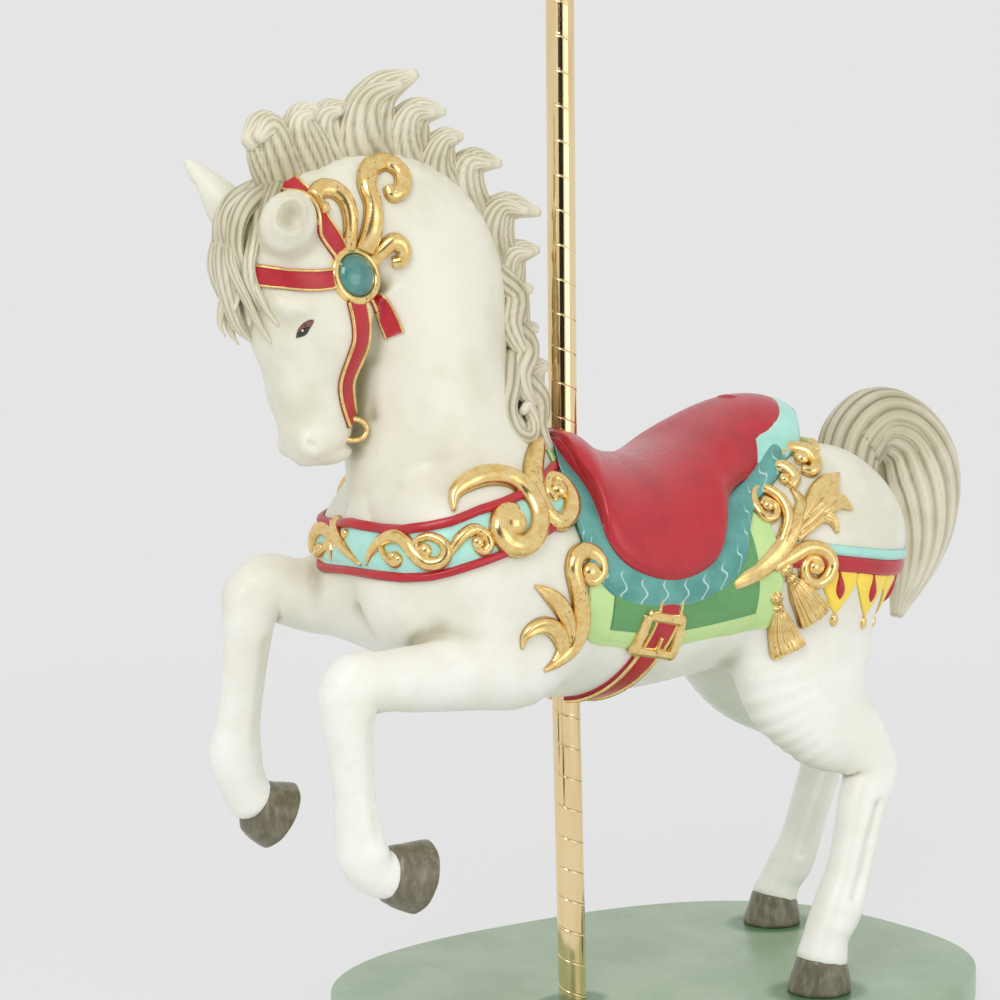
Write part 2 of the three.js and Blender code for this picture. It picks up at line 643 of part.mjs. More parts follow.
function bridle() {
  const parts = [];
  for (const side of SIDES) {
    const out = [0, side, 0];
    parts.push(ribbon([
      [[-386, 0, 960], out],
      [[-402, 0, 990], out],
      [[-412, 0, 1020], [0, side, 0.6]],
      [[-416, 0, 1030], [0, side * 0.2, 1]],
    ], STRAP));
    parts.push(ribbon([[[-392, 0, 951], out], [[-440, 0, 950], out], [[-470, 0, 948], [-0.5, side, 0]]], STRAP));
    parts.push(ribbon([
      [[-386, 0, 935], out],
      [[-380, 0, 890], out],
      [[-386, 0, 840], out],
      [[-380, 0, 785], out],
    ], STRAP));
    if (side === NEAR) parts.push(ribbon([[[-380, 0, 940], out], [[-358, 0, 915], out], [[-340, 0, 888], out]], STRAP));
    parts.push(laid(side, volute([-374, 768], 15, 15, 0, 330, 4, 4, 6), { rise: 0.8 }));
    const cheek = touch(vec(ROSETTE.x, 0, ROSETTE.z), vec(0, side, 0)).point;
    const profile = [[0, -14], [ROSETTE.r, -14], [ROSETTE.r, 6], [ROSETTE.r * 0.72, 9], [ROSETTE.r * 0.5, 15], [0, 19]];
    const disc = new THREE.LatheGeometry(profile.map(([r, y]) => new THREE.Vector2(r, y)), 9);
    if (side < 0) disc.rotateX(Math.PI);
    disc.translate(cheek.x, cheek.y, cheek.z);
    parts.push(solidFromGeometry(disc));
    for (const knots of side === NEAR ? PLUMES : []) parts.push(laid(side, knots));
  }
  return parts;
}

// Gilded plumes that rise from the rosette onto the neck.
const PLUMES = [
  [[-388, 975, 9], [-392, 1010, 10], ...volute([-412, 1030], 20, 9, 20, 230, 10, 7, 6)],
  [[-378, 975, 12], [-352, 1010, 13], [-356, 1050, 12], ...volute([-334, 1062], 24, 9, 130, -120, 11, 8, 7)],
  [[-362, 965, 8], [-344, 984, 9], ...volute([-330, 970], 14, 7, 90, -150, 8, 6, 5)],
];

// Girth: a strap round the belly, with a square gilt buckle below each saddle flap.
const GIRTH = { x: 22, half: 15, thick: 7 };
const BUCKLE = { x: 8, z: 515, half: 29, bar: 7, tilt: 28 };

function girth() {
  const outer = [];
  const inner = [];
  const turns = range(95, 265, 12);
  for (const turn of turns) {
    const way = vec(0, Math.sin(rad(turn)), Math.cos(rad(turn)));
    for (const x of [GIRTH.x - GIRTH.half, GIRTH.x + GIRTH.half]) {
      const { point } = touch(vec(x, 0, 570), way);
      outer.push(point.clone().addScaledVector(way, GIRTH.thick));
      inner.push(point.clone().addScaledVector(way, -8));
    }
  }
  const parts = [slab(outer, inner, turns.length, 2)];
  const frame = new THREE.Shape([[-1, -1], [1, -1], [1, 1], [-1, 1]].map(([u, v]) => {
    return new THREE.Vector2(u * BUCKLE.half, v * BUCKLE.half);
  }));
  const eye = BUCKLE.half - 2 * BUCKLE.bar;
  frame.holes.push(new THREE.Path([[-1, -1], [-1, 1], [1, 1], [1, -1]].map(([u, v]) => {
    return new THREE.Vector2(u * eye, v * eye);
  })));
  for (const side of SIDES) {
    const ring = new THREE.ExtrudeGeometry(frame, { depth: 26, bevelEnabled: false });
    ring.translate(0, 0, -12);
    ring.rotateX(Math.PI / 2 - side * rad(BUCKLE.tilt));
    const at = touch(vec(BUCKLE.x, 0, BUCKLE.z), vec(0, side, 0)).point;
    ring.translate(at.x, at.y, at.z);
    parts.push(solidFromGeometry(ring));
  }
  return parts;
}

// ---------- pieces ----------
const leanX = (degrees, height) => Math.tan(rad(degrees)) * height;

// A leaning round bar from one height to another, through x at height z0.
function poleSolid(x0, z0, lean, from, to, radius, domed = false) {
  const length = to - from;
  const dome = domed ? [new THREE.Vector2(radius, length - 12), new THREE.Vector2(radius * 0.8, length - 3)]
    : [new THREE.Vector2(radius, length)];
  const profile = [new THREE.Vector2(0, 0), new THREE.Vector2(radius, 0), ...dome, new THREE.Vector2(0, length)];
  const geometry = new THREE.LatheGeometry(profile, 24);
  geometry.rotateX(Math.PI / 2);
  geometry.applyMatrix4(new THREE.Matrix4().makeShear(0, 0, 0, 0, -leanX(lean, 1), 0));
  geometry.translate(x0 - leanX(lean, from - z0), 0, from);
  return solidFromGeometry(geometry, EXACT);
}

const upperPole = (from, radius, domed) => poleSolid(SADDLE_X, 740, UPPER_LEAN, from, POLE_TOP, radius, domed);
const lowerPole = (from, to, radius) => poleSolid(0, 0, LOWER_LEAN, from, to, radius);

function makeHorse() {
  const body = join([
    trunk(),
    limb(NECK, 12),
    head(),
    legs(),
  ]);
  bare = new THREE.Mesh(geometryFromSolid(body), new THREE.MeshBasicMaterial({ side: THREE.DoubleSide }));
  bare.updateMatrixWorld();
  const dressed = join([
    body,
    ...saddleSolids(),
    ...breastBand(),
    ...crupper(),
    ...girth(),
    ...scrollwork(),
    ...bridle(),
    hair(),
  ]);
  const casting = solidFromGeometry(geometryFromSolid(outerBody(dressed)), EXACT);
  return casting
    .subtract(upperPole(SADDLE_SOCKET, POLE_R + GAP, false))
    .subtract(lowerPole(-60, BELLY_SOCKET, POLE_R + GAP));
}

function makeBase() {
  const outline = (grow) => {
    const points = range(0, 1, 41).map((t) => {
      const turn = 2 * Math.PI * t;
      const pull = (v) => Math.sign(v) * Math.abs(v) ** (2 / BASE_ROUND);
      const long = (BASE_LONG / 2 + grow) * pull(Math.cos(turn));
      const wide = (BASE_WIDE / 2 + grow) * pull(Math.sin(turn));
      return new THREE.Vector2(long, wide);
    });
    points.pop();
    return new THREE.Shape(points);
  };
  const slabShape = new THREE.ExtrudeGeometry(outline(-BASE_EDGE), {
    depth: BASE_T - 2 * BASE_EDGE,
    bevelEnabled: true,
    bevelThickness: BASE_EDGE,
    bevelSize: BASE_EDGE,
    bevelSegments: 1,
  });
  slabShape.translate(0, 0, BASE_EDGE - BASE_T);
  slabShape.translate(-POLE_X, -POLE_Y, 0);
  const socket = lowerPole(BASE_SOCKET, 80, POLE_R + GAP);
  return solidFromGeometry(slabShape, EXACT).subtract(socket);
}

// ---------- scene graph ----------
const root = new THREE.Group();
const onBase = new THREE.Group(); // the horse's own frame: the foot of the lower pole on the base's top
onBase.position.set(POLE_X, POLE_Y, BASE_T);
root.add(onBase);

function addPiece(name, solid, color, roughness, metalness) {
  const material = new THREE.MeshStandardMaterial({ color, roughness, metalness });
  const mesh = new THREE.Mesh(geometryFromSolid(solid), material);
  mesh.name = name;
  onBase.add(mesh);
}

addPiece("horse", makeHorse(), 0xefecd9, 0.45, 0);
addPiece("upper_pole", upperPole(SADDLE_SOCKET + GAP, POLE_R, true), 0xc8a860, 0.2, 1);
addPiece("lower_pole", lowerPole(BASE_SOCKET + GAP, BELLY_SOCKET - GAP, POLE_R), 0xc8a860, 0.2, 1);
addPiece("base", makeBase(), 0xa3b29d, 0.5, 0);

export default root;
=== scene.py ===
"""Carousel horse: the fine surface and the finishes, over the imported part.

The horse is a resin casting painted by hand, with gilded scrollwork, between two lengths of brass pole
over a rounded display base. All shapes are worked out in millimetres in the horse's own frame, whose
origin is the foot of the lower pole on the base's top. X runs to the tail, Y to the far side, Z up.
"""
from concurrent.futures import ThreadPoolExecutor

import bmesh
import bpy
import numpy as np
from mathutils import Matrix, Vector


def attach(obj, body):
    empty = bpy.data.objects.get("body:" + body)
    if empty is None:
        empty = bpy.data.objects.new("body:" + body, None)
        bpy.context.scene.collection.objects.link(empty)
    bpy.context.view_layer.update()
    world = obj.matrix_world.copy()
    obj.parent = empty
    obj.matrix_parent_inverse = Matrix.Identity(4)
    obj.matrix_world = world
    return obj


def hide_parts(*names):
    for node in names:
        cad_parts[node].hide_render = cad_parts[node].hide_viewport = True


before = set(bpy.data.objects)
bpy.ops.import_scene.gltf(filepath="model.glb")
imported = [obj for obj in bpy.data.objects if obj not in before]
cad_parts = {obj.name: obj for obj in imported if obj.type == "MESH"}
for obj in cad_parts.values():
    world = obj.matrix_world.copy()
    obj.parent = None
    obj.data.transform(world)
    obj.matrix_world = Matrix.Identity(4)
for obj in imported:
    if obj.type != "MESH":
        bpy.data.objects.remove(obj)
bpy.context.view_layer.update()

# ---------- driving dimensions, in mm ----------
POLE_FOOT = np.array([-188.0, -45.0, 45.0])  # the horse frame's origin, from the base's centre underneath
BASE_LONG, BASE_WIDE, BASE_T, BASE_ROUND = 940, 670, 45, 2.6
POLE_R, POLE_TOP = 19, 1640
LOWER_LEAN, UPPER_LEAN = 1.7, 0.6  # degrees, top of the tube forward
SADDLE_X = -18  # the upper tube's axis at saddle height
SADDLE_SOCKET, BELLY_SOCKET, BASE_SOCKET = 655, 480, -25
NEAR, FAR = -1, 1
MM = 0.001


# ---------- curves ----------
def curve(knots, steps):
    """A smooth line through rows of knots: in each stretch a cubic that leaves and arrives along the
    mean direction of the stretches on both sides, stepped by the square root of distance."""
    rows = np.asarray(knots, float)
    gap = np.maximum(np.linalg.norm(np.diff(rows[:, :3], axis=0), axis=1), 1e-6) ** 0.5
    at = np.concatenate([[0], np.cumsum(gap)])
    slope = np.diff(rows, axis=0) / gap[:, None]
    lean = np.empty_like(rows)
    lean[0], lean[-1] = slope[0], slope[-1]
    lean[1:-1] = (slope[:-1] * gap[1:, None] + slope[1:] * gap[:-1, None]) / (gap[:-1] + gap[1:])[:, None]
    t = np.linspace(0, at[-1], steps + 1)
    i = np.clip(np.searchsorted(at, t, side="right") - 1, 0, len(gap) - 1)
    s, h = ((t - at[i]) / gap[i])[:, None], gap[i][:, None]
    leave, arrive = lean[i] * h * s * (1 - s) ** 2, lean[i + 1] * h * s * s * (s - 1)
    return rows[i] * (1 + 2 * s) * (1 - s) ** 2 + leave + rows[i + 1] * s * s * (3 - 2 * s) + arrive


def unit(v):
    """Vectors made one long."""
    return v / np.maximum(np.linalg.norm(v, axis=-1, keepdims=True), 1e-9)


def all_round(count):
    """So many angles evenly round a circle."""
    return 2 * np.pi * np.arange(count) / count


def axes_of(normal):
    """Two directions square to a normal and to each other, and the normal itself."""
    z = unit(np.asarray(normal, float))
    x = unit(np.cross([0, 0, 1.0], z) if abs(z[2]) < 0.9 else np.cross([0, 1.0, 0], z))
    return x, np.cross(z, x), z


def mirrored(rows, side):
    """Rows of [x, y, z, ...] with their y times side."""
    rows = np.array(rows, float)
    rows[:, 1] *= side
    return rows


def ramp(x, low, high):
    """0 below low, 1 above high, and a smooth S between."""
    t = np.clip((x - low) / (high - low), 0, 1)
    return t * t * (3 - 2 * t)


# ---------- the casting as a field: negative inside, about the distance in mm outside ----------
REACH = 70  # beyond this from a form's box, the form no longer matters


def egg(u, v, s, wide, deep, long):
    """Distance to an ellipsoid from its own coordinates: q is how many times the radius, and the
    distance is q (q - 1) over the length of q's gradient."""
    q = np.sqrt((u / wide) ** 2 + (v / deep) ** 2 + (s / long) ** 2)
    g = np.sqrt((u / wide**2) ** 2 + (v / deep**2) ** 2 + (s / long**2) ** 2) + 1e-9
    return q * (q - 1) / g


def boxed(points, low, high, exact):
    """exact(points) near the box from low to high, and the distance to the box elsewhere."""
    away = np.linalg.norm(np.maximum(np.maximum(low - points, points - high), 0), axis=1)
    near = away < REACH
    away[near] = exact(points[near])
    return away


class Limb:
    """Elliptical sections along a path. Stations are [x, y, z, half width, half depth], the width
    across the horse; cap is how far each end is rounded out, in half widths. A point is measured from
    the nearest spot of the path, against the ellipse that the stations give there."""

    def __init__(self, stations, steps=None, cap=0.7):
        rows = curve(stations, steps or 4 * (len(stations) - 1)).astype(np.float32)
        step = np.diff(rows[:, :3], axis=0)
        lengths = np.linalg.norm(step, axis=1, keepdims=True)
        axis = step / lengths
        along = unit(np.vstack([axis[:1], axis[:-1] + axis[1:], axis[-1:]]))
        across = unit(np.array([0, 1, 0]) - along * along[:, 1:2])
        self.rows = np.hstack([rows, across, along]).astype(np.float32)
        self.axis, self.lengths, self.cap = axis, lengths[:, 0], cap
        size = self.rows[:, 3:5].max(1, keepdims=True)
        self.low = (self.rows[:, :3] - size).min(0)
        self.high = (self.rows[:, :3] + size).max(0)

    def __call__(self, points):
        return boxed(points, self.low, self.high, self.exact)

    def exact(self, points):
        nearest = np.full(len(points), 1e9, np.float32)
        spot = np.zeros(len(points), np.float32)
        for i, (a, axis, length) in enumerate(zip(self.rows[:-1, :3], self.axis, self.lengths)):
            away = points - a
            t = np.clip(away @ axis / length, 0, 1)
            gap = ((away - t[:, None] * (axis * length)) ** 2).sum(1)
            closer = gap < nearest
            nearest = np.where(closer, gap, nearest)
            spot = np.where(closer, i + t, spot)
        i = np.minimum(spot.astype(int), len(self.axis) - 1)
        here = self.rows[i] + (self.rows[i + 1] - self.rows[i]) * (spot - i)[:, None]
        away = points - here[:, :3]
        wide, deep = here[:, 3], here[:, 4]
        side = (away * here[:, 5:8]).sum(1)
        run = (away * here[:, 8:11]).sum(1)
        rest = np.sqrt(np.maximum((away**2).sum(1) - side**2 - run**2, 0))
        ends = (spot <= 0) | (spot >= len(self.axis))
        rest = np.where(ends, rest, np.hypot(rest, run))
        return egg(side, rest, np.where(ends, run, 0), wide, deep, np.minimum(wide, deep) * self.cap)


class Ball:
    """An ellipsoid: centre, radii, and its turn about Y and then about Z in degrees."""

    def __init__(self, centre, radii, turn_y=0, turn_z=0):
        b, c = np.radians(turn_y), np.radians(turn_z)
        about_y = np.array([[np.cos(b), 0, np.sin(b)], [0, 1, 0], [-np.sin(b), 0, np.cos(b)]])
        about_z = np.array([[np.cos(c), -np.sin(c), 0], [np.sin(c), np.cos(c), 0], [0, 0, 1]])
        self.centre, self.radii = np.array(centre, float), radii
        self.frame = (about_z @ about_y).astype(np.float32)
        self.low, self.high = self.centre - max(radii), self.centre + max(radii)

    def __call__(self, points):
        return boxed(points, self.low, self.high, self.exact)

    def exact(self, points):
        own = (points - self.centre.astype(np.float32)) @ self.frame
        return egg(own[:, 0], own[:, 1], own[:, 2], *self.radii)


class Barrel:
    """Upright elliptical rings along X. Rings are [x, 0, middle height, half width, half depth]. A point
    is measured against the ring at its own x: q is how many times the ring's radius it is away, and the
    distance is q (q - 1) over the length of q's gradient, the growth of the rings along X included."""

    def __init__(self, rings, cap):
        rows = curve(rings, 240).astype(np.float32)
        self.x, self.rows, self.cap = rows[:, 0], rows[:, 2:], np.float32(cap)
        self.growth = np.gradient(self.rows, self.x, axis=0)
        size = self.rows[:, 1:].max(1)
        self.low = np.array([self.x[0] - cap, -size.max(), (self.rows[:, 0] - size).min()])
        self.high = np.array([self.x[-1] + cap, size.max(), (self.rows[:, 0] + size).max()])

    def __call__(self, points):
        return boxed(points, self.low, self.high, self.exact)

    def exact(self, points):
        x = np.clip(points[:, 0], self.x[0], self.x[-1])
        z, wide, deep = (np.interp(x, self.x, self.rows[:, k]) for k in range(3))
        dz, dw, dd = (np.interp(x, self.x, self.growth[:, k]) for k in range(3))
        u, v, s = points[:, 1] / wide, (points[:, 2] - z) / deep, (points[:, 0] - x) / self.cap
        q = np.sqrt(u * u + v * v + s * s)
        along = s / self.cap - (u * u * dw / wide + v * v * dd / deep + v * dz / deep)
        g = np.sqrt((u / wide) ** 2 + (v / deep) ** 2 + along**2) + 1e-9
        return (q * (q - 1) / g).astype(np.float32)


def soft_min(a, b, k):
    """The lesser of two distances, with the crease between them filled over a width of k."""
    h = np.maximum(k - np.abs(a - b), 0) / k
    return np.minimum(a, b) - h * h * k / 4


# Trunk: upright rings [x, top, bottom, half width], from the chest to the rump.
TRUNK = [
    [-334, 662, 562, 50], [-315, 698, 517, 90], [-283, 724, 480, 122], [-235, 740, 450, 144],
    [-165, 744, 430, 158], [-85, 737, 417, 161], [0, 720, 413, 162], [85, 711, 417, 163],
    [170, 716, 427, 165], [250, 732, 438, 168], [330, 746, 450, 172], [405, 743, 472, 168],
    [460, 724, 502, 148], [500, 692, 532, 112], [522, 655, 565, 62],
]
NECK = [
    [-150, 0, 600, 126, 138], [-190, 0, 680, 112, 136], [-218, 0, 755, 98, 121], [-232, 0, 835, 88, 108],
    [-234, 0, 905, 82, 113], [-240, 0, 950, 78, 114], [-255, 0, 985, 74, 110], [-283, 0, 1010, 70, 102],
    [-320, 0, 1022, 66, 90], [-355, 0, 1022, 62, 80], [-392, 0, 1012, 58, 70],
]
HEAD = [
    [-360, 0, 1020, 50, 60], [-405, 0, 1020, 56, 66], [-428, 0, 985, 62, 72], [-418, 0, 935, 64, 75],
    [-411, 0, 888, 60, 67], [-402, 0, 842, 48, 56], [-397, 0, 806, 41, 51], [-394, 0, 772, 38, 48],
    [-392, 0, 750, 36, 40], [-388, 0, 737, 28, 30],
]
LEGS = {
    "near_fore": [
        [-120, -88, 520, 52, 74], [-168, -108, 478, 46, 56], [-235, -117, 474, 42, 48],
        [-310, -122, 472, 37, 41], [-375, -124, 473, 34, 36], [-417, -125, 468, 34, 40],
        [-424, -125, 430, 30, 32], [-420, -125, 385, 25, 26], [-415, -125, 336, 24, 25],
        [-411, -125, 298, 27, 29], [-404, -125, 268, 29, 31], [-388, -124, 248, 28, 29],
        [-372, -123, 242, 28, 29],
    ],
    "far_fore": [
        [-170, 78, 535, 56, 72], [-225, 95, 541, 50, 60], [-290, 104, 548, 44, 50],
        [-352, 110, 556, 38, 43], [-405, 112, 568, 35, 42], [-424, 112, 540, 32, 36],
        [-430, 112, 492, 28, 29], [-437, 112, 440, 26, 27], [-443, 112, 397, 27, 28],
        [-447, 112, 362, 30, 34], [-438, 112, 327, 29, 30], [-425, 112, 300, 29, 30],
    ],
    "near_hind": [
        [300, -84, 560, 78, 120], [312, -98, 480, 72, 120], [318, -112, 415, 60, 106],
        [345, -124, 365, 48, 76], [388, -136, 326, 40, 52], [406, -144, 292, 35, 42],
        [386, -149, 245, 30, 35], [372, -152, 198, 28, 33], [355, -154, 148, 29, 33],
        [336, -155, 108, 32, 36], [316, -156, 74, 29, 32], [308, -156, 46, 33, 36],
    ],
    "far_hind": [
        [330, 84, 560, 76, 116], [360, 96, 480, 68, 110], [400, 104, 420, 58, 92],
        [470, 112, 366, 48, 70], [545, 118, 318, 40, 50], [580, 122, 284, 35, 41],
        [574, 130, 235, 30, 34], [561, 139, 180, 28, 32], [549, 147, 128, 29, 32],
        [536, 153, 92, 31, 35], [520, 158, 66, 29, 32], [510, 161, 44, 33, 36],
    ],
}
EARS = {
    FAR: [[-447, 41, 985, 24, 26], [-464, 56, 1018, 29, 29], [-488, 76, 1056, 21, 23], [-515, 97, 1095, 6, 6]],
    NEAR: [[-444, -28, 1000, 24, 28], [-458, -48, 1010, 32, 38], [-468, -66, 1016, 31, 38],
           [-474, -80, 1019, 20, 26]],
}

trunk_rows = [[x, 0, (top + bottom) / 2, wide, (top - bottom) / 2] for x, top, bottom, wide in TRUNK]


def swelled(side):
    """Muscles and bones that show under the skin on one side: (blend, form)."""
    return [
        (22, Ball([-378, 30 * side, 900], [44, 34, 64], 8)),  # cheek
        (12, Ball([-452, 48 * side, 912], [28, 17, 15], 25)),  # brow over the eye
        (16, Ball([-424, 20 * side, 850], [22, 20, 60], 8)),  # bone down the face
        (10, Ball([-412, 27 * side, 752], [19, 13, 17])),  # nostril rim
        (50, Ball([-225, 96 * side, 600], [86, 60, 110], -20)),  # shoulder
        (26, Ball([-294, 54 * side, 560], [48, 54, 58])),  # breast
        (50, Ball([330, 108 * side, 610], [120, 62, 130], 15)),  # haunch
    ]


def grooves(side):
    """Folds and hollows pressed into the skin on one side: (softness, form)."""
    jaw = [[-332, 60, 932, 4, 4], [-335, 51, 900, 6, 6], [-340, 46, 862, 7, 7], [-341, 40, 820, 7, 7],
           [-335, 34, 784, 5, 5]]
    lips = [[-431, 36, 747, 2.5, 2.5], [-415, 42, 741, 3, 3], [-395, 42, 743, 3, 3], [-372, 30, 746, 2.5, 2.5]]
    tear = [[-428, 66, 872, 6, 6], [-420, 60, 845, 8, 8], [-412, 54, 812, 6, 6]]
    return [
        (7, Limb(mirrored(jaw, side))),  # edge of the cheek against the neck
        (2, Limb(mirrored(lips, side))),  # mouth
        (9, Limb(mirrored(tear, side))),  # hollow below the eye
        (8, Ball([-446, 68 * side, 893], [17, 9, 12], 25)),  # eye socket
        (3, Ball([-421, 40 * side, 753], [7, 8, 5], 20)),  # nostril
    ]


JOINTS = [  # knees, fetlocks and hocks: (blend, form)
    (10, Ball([-436, -125, 462], [20, 27, 26])), (10, Ball([-440, 112, 558], [20, 26, 26])),
    (8, Ball([-402, -125, 272], [27, 29, 20], 20)), (8, Ball([-446, 112, 338], [26, 28, 20], 20)),
    (12, Ball([418, -144, 300], [24, 22, 26], 20)), (12, Ball([594, 122, 292], [24, 22, 26], 20)),
    (9, Ball([322, -155, 88], [28, 30, 20], -20)), (9, Ball([524, 157, 76], [28, 30, 20], -20)),
]
TENDONS = [  # shallow channels behind the shin bones: [x, y, z, radius]
    [[-404, -155, 430, 6], [-402, -154, 380, 8], [-399, -152, 330, 7], [-394, -150, 300, 4]],
    [[-413, 84, 500, 6], [-418, 82, 450, 8], [-425, 82, 405, 7], [-430, 82, 375, 4]],
    [[392, -177, 250, 6], [376, -179, 205, 8], [356, -181, 155, 7], [340, -182, 125, 4]],
    [[566, 100, 245, 6], [553, 108, 195, 8], [540, 117, 145, 7], [530, 122, 110, 4]],
]


casting_forms = [(30, Limb(NECK)), (10, Limb(HEAD, cap=0.3))]
casting_forms += [(26 if "fore" in name else 30, Limb(rows)) for name, rows in LEGS.items()]
casting_forms += swelled(NEAR) + swelled(FAR)
casting_forms += [
    (8, Ball([-372, 0, 740], [26, 26, 13], -12)),  # lower lip and chin
    (12, Limb(EARS[FAR])), (14, Limb(EARS[NEAR])),
]
casting_forms += JOINTS
casting_cuts = [
    (5, Ball([-507, 92, 1046], [14, 14, 26], -25)),  # hollow of the pricked ear
    (8, Ball([-483, -103, 1023], [25, 27, 29])),  # hollow of the ear turned out
] + grooves(NEAR) + grooves(FAR)
casting_cuts += [(12, Limb([[x, y, z, 0.75 * r, 0.75 * r] for x, y, z, r in rows])) for rows in TENDONS]
trunk = Barrel(trunk_rows, 14)
torso_forms = casting_forms[:2] + swelled(NEAR) + swelled(FAR)


THREADS, SHARE = 4, 12000  # shares worked out side by side, and about how many points each holds


def melted(points, forms, cuts=()):
    """The trunk and other forms melted together, then hollows cut."""
    depth = trunk(points)
    for blend, form in forms:
        depth = soft_min(depth, form(points), blend)
    for blend, form in cuts:
        depth = -soft_min(-depth, form(points), blend)
    return depth


def casting(points):
    """The whole bare horse. Many points are worked out in shares, side by side."""
    points = np.asarray(points, np.float32)
    count = max(THREADS, len(points) // SHARE) if len(points) > SHARE // 4 else 1
    shares = np.array_split(points, count)
    with ThreadPoolExecutor(THREADS) as foot_shadow:
        made = [foot_shadow.submit(melted, share, casting_forms, casting_cuts) for share in shares]
        return np.concatenate([share.result() for share in made])


def torso(points):
    """The horse without its legs, for what goes round the chest over them."""
    return melted(np.asarray(points, np.float32), torso_forms)


def lattice(counts):
    """Every whole-number place in a grid of so many points along X, Y and Z."""
    steps = [np.arange(count, dtype=np.float32) for count in counts]
    return np.stack(np.meshgrid(*steps, indexing="ij"), -1).reshape(-1, 3)


class Sampled:
    """A field read off a cubic grid of its own values, as the weighted mean of the eight samples round
    a point. Near the surface the samples are exact; further off, every fourth one is, and those between
    are read off them."""

    def __init__(self, field, low, high, cell, near=24.0):
        self.low, self.cell = np.array(low, np.float32), cell * 4.0
        counts = np.ceil((np.array(high) - low) / (4.0 * cell)).astype(int) + 1
        self.values = field(lattice(counts) * np.float32(self.cell) + self.low).reshape(counts)
        counts = (counts - 1) * 4 + 1
        fine = lattice(counts) * np.float32(cell) + self.low
        values = self(fine)
        close = np.abs(values) < near
        values[close] = field(fine[close])
        self.values, self.cell = values.reshape(counts), float(cell)

    def __call__(self, points):
        at = (np.asarray(points, np.float32) - self.low) / np.float32(self.cell)
        top = np.array(self.values.shape) - 2
        i = np.clip(at.astype(np.int32), 0, top)
        part = np.clip(at - i, 0, 1)
        first = (i[:, 0] * self.values.shape[1] + i[:, 1]) * self.values.shape[2] + i[:, 2]
        flat = self.values.ravel()
        whole = np.zeros(len(at), np.float32)
        for a, b, c in np.ndindex(2, 2, 2):
            weight = (part[:, 0] if a else 1 - part[:, 0]) * (part[:, 1] if b else 1 - part[:, 1])
            corner = (a * self.values.shape[1] + b) * self.values.shape[2] + c
            whole += weight * (part[:, 2] if c else 1 - part[:, 2]) * flat[first + corner]
        return whole


def slope(field, points, step=None):
    """Outward unit directions of a field, from its differences over a small step."""
    points = np.asarray(points, np.float32)
    step = step or getattr(field, "cell", 0.8)
    steps = np.eye(3, dtype=np.float32) * np.float32(step)
    return unit(np.stack([field(points + along) - field(points - along) for along in steps], 1))


def settle(field, points, rounds=4):
    """Points moved along the field's slope until they lie on its surface."""
    points = np.asarray(points, np.float32).copy()
    for _ in range(rounds):
        points -= slope(field, points) * np.clip(field(points), -8, 8)[:, None]
    return points


def march(field, starts, ways, rounds=60):
    """Where rays from starts along ways first meet the surface: each step is most of the distance."""
    points = np.asarray(starts, np.float32).copy()
    ways = unit(np.asarray(ways, np.float32))
    for _ in range(rounds):
        points += ways * (0.8 * field(points))[:, None]
    return points
# ---------- end of the field ----------


# ---------- meshes from arrays ----------
def weave(rows, columns, round_columns=False):
    """Quads of a grid of points, row by row; round_columns joins the last column to the first."""
    r = np.arange(rows - 1)[:, None]
    c = np.arange(columns if round_columns else columns - 1)[None, :]
    after = (c + 1) % columns
    this, below = r * columns, (r + 1) * columns
    return np.stack([this + c, this + after, below + after, below + c], -1).reshape(-1, 4)


def outward(part):
    """The part with its faces turned outwards: the volume they enclose must come out positive."""
    points, faces = part["points"], part["faces"]
    a, b, c = (points[faces[:, k]] for k in range(3))
    volume = (a * np.cross(b, c)).sum()
    four = faces[:, 3] >= 0
    volume += (a[four] * np.cross(c[four], points[faces[four, 3]])).sum()
    if volume < 0:
        turned = faces[:, ::-1].copy()
        turned[~four] = np.hstack([faces[~four][:, 2::-1], faces[~four][:, 3:]])
        part["faces"] = turned
    return part


def loft(rings, wash_and_shade=0.0, run=None):
    """Rings of points joined into a closed tube, each end closed at the middle of its ring. wash_and_shade is
    the dark tone of each point, antique tone and painted shade in one; run its place (along, round) in the
    tube's own map."""
    n, m = rings.shape[:2]
    points = np.vstack([rings.reshape(-1, 3), rings[0].mean(0), rings[-1].mean(0)])
    j, none = np.arange(m), np.full(m, -1)
    first = np.stack([np.full(m, n * m), (j + 1) % m, j, none], 1)
    last = np.stack([np.full(m, n * m + 1), (n - 1) * m + j, (n - 1) * m + (j + 1) % m, none], 1)
    tone = np.zeros(len(points))
    tone[: n * m] = np.broadcast_to(wash_and_shade, (n, m)).ravel()
    place = np.zeros((len(points), 2))
    if run is None:
        run = np.stack(np.meshgrid(np.arange(n) / n, np.arange(m) / m, indexing="ij"), -1)
    place[: n * m] = run.reshape(-1, 2)
    faces = np.vstack([weave(n, m, True), first, last])
    return outward(dict(points=points, faces=faces, wash_and_shade=tone, place=place))


def slab(outer, inner, wash_and_shade=0.0, run=None):
    """A closed slab between two grids of points with the same layout, joined round their rims."""
    n, m = outer.shape[:2]
    points = np.vstack([outer.reshape(-1, 3), inner.reshape(-1, 3)])
    top = weave(n, m)
    grid = np.arange(n * m).reshape(n, m)
    rim = np.concatenate([grid[0], grid[1:, -1], grid[-1, -2::-1], grid[-2:0:-1, 0]])
    after = np.roll(rim, -1)
    wall = np.stack([rim, rim + n * m, after + n * m, after], 1)
    tone = np.tile(np.broadcast_to(wash_and_shade, (n, m)).ravel(), 2)
    if run is None:
        run = np.stack(np.meshgrid(np.linspace(0, 1, n), np.linspace(0, 1, m), indexing="ij"), -1)
    faces = np.vstack([top, top[:, ::-1] + n * m, wall[:, ::-1]])
    return outward(dict(points=points, faces=faces, wash_and_shade=tone, place=np.tile(run.reshape(-1, 2), (2, 1))))


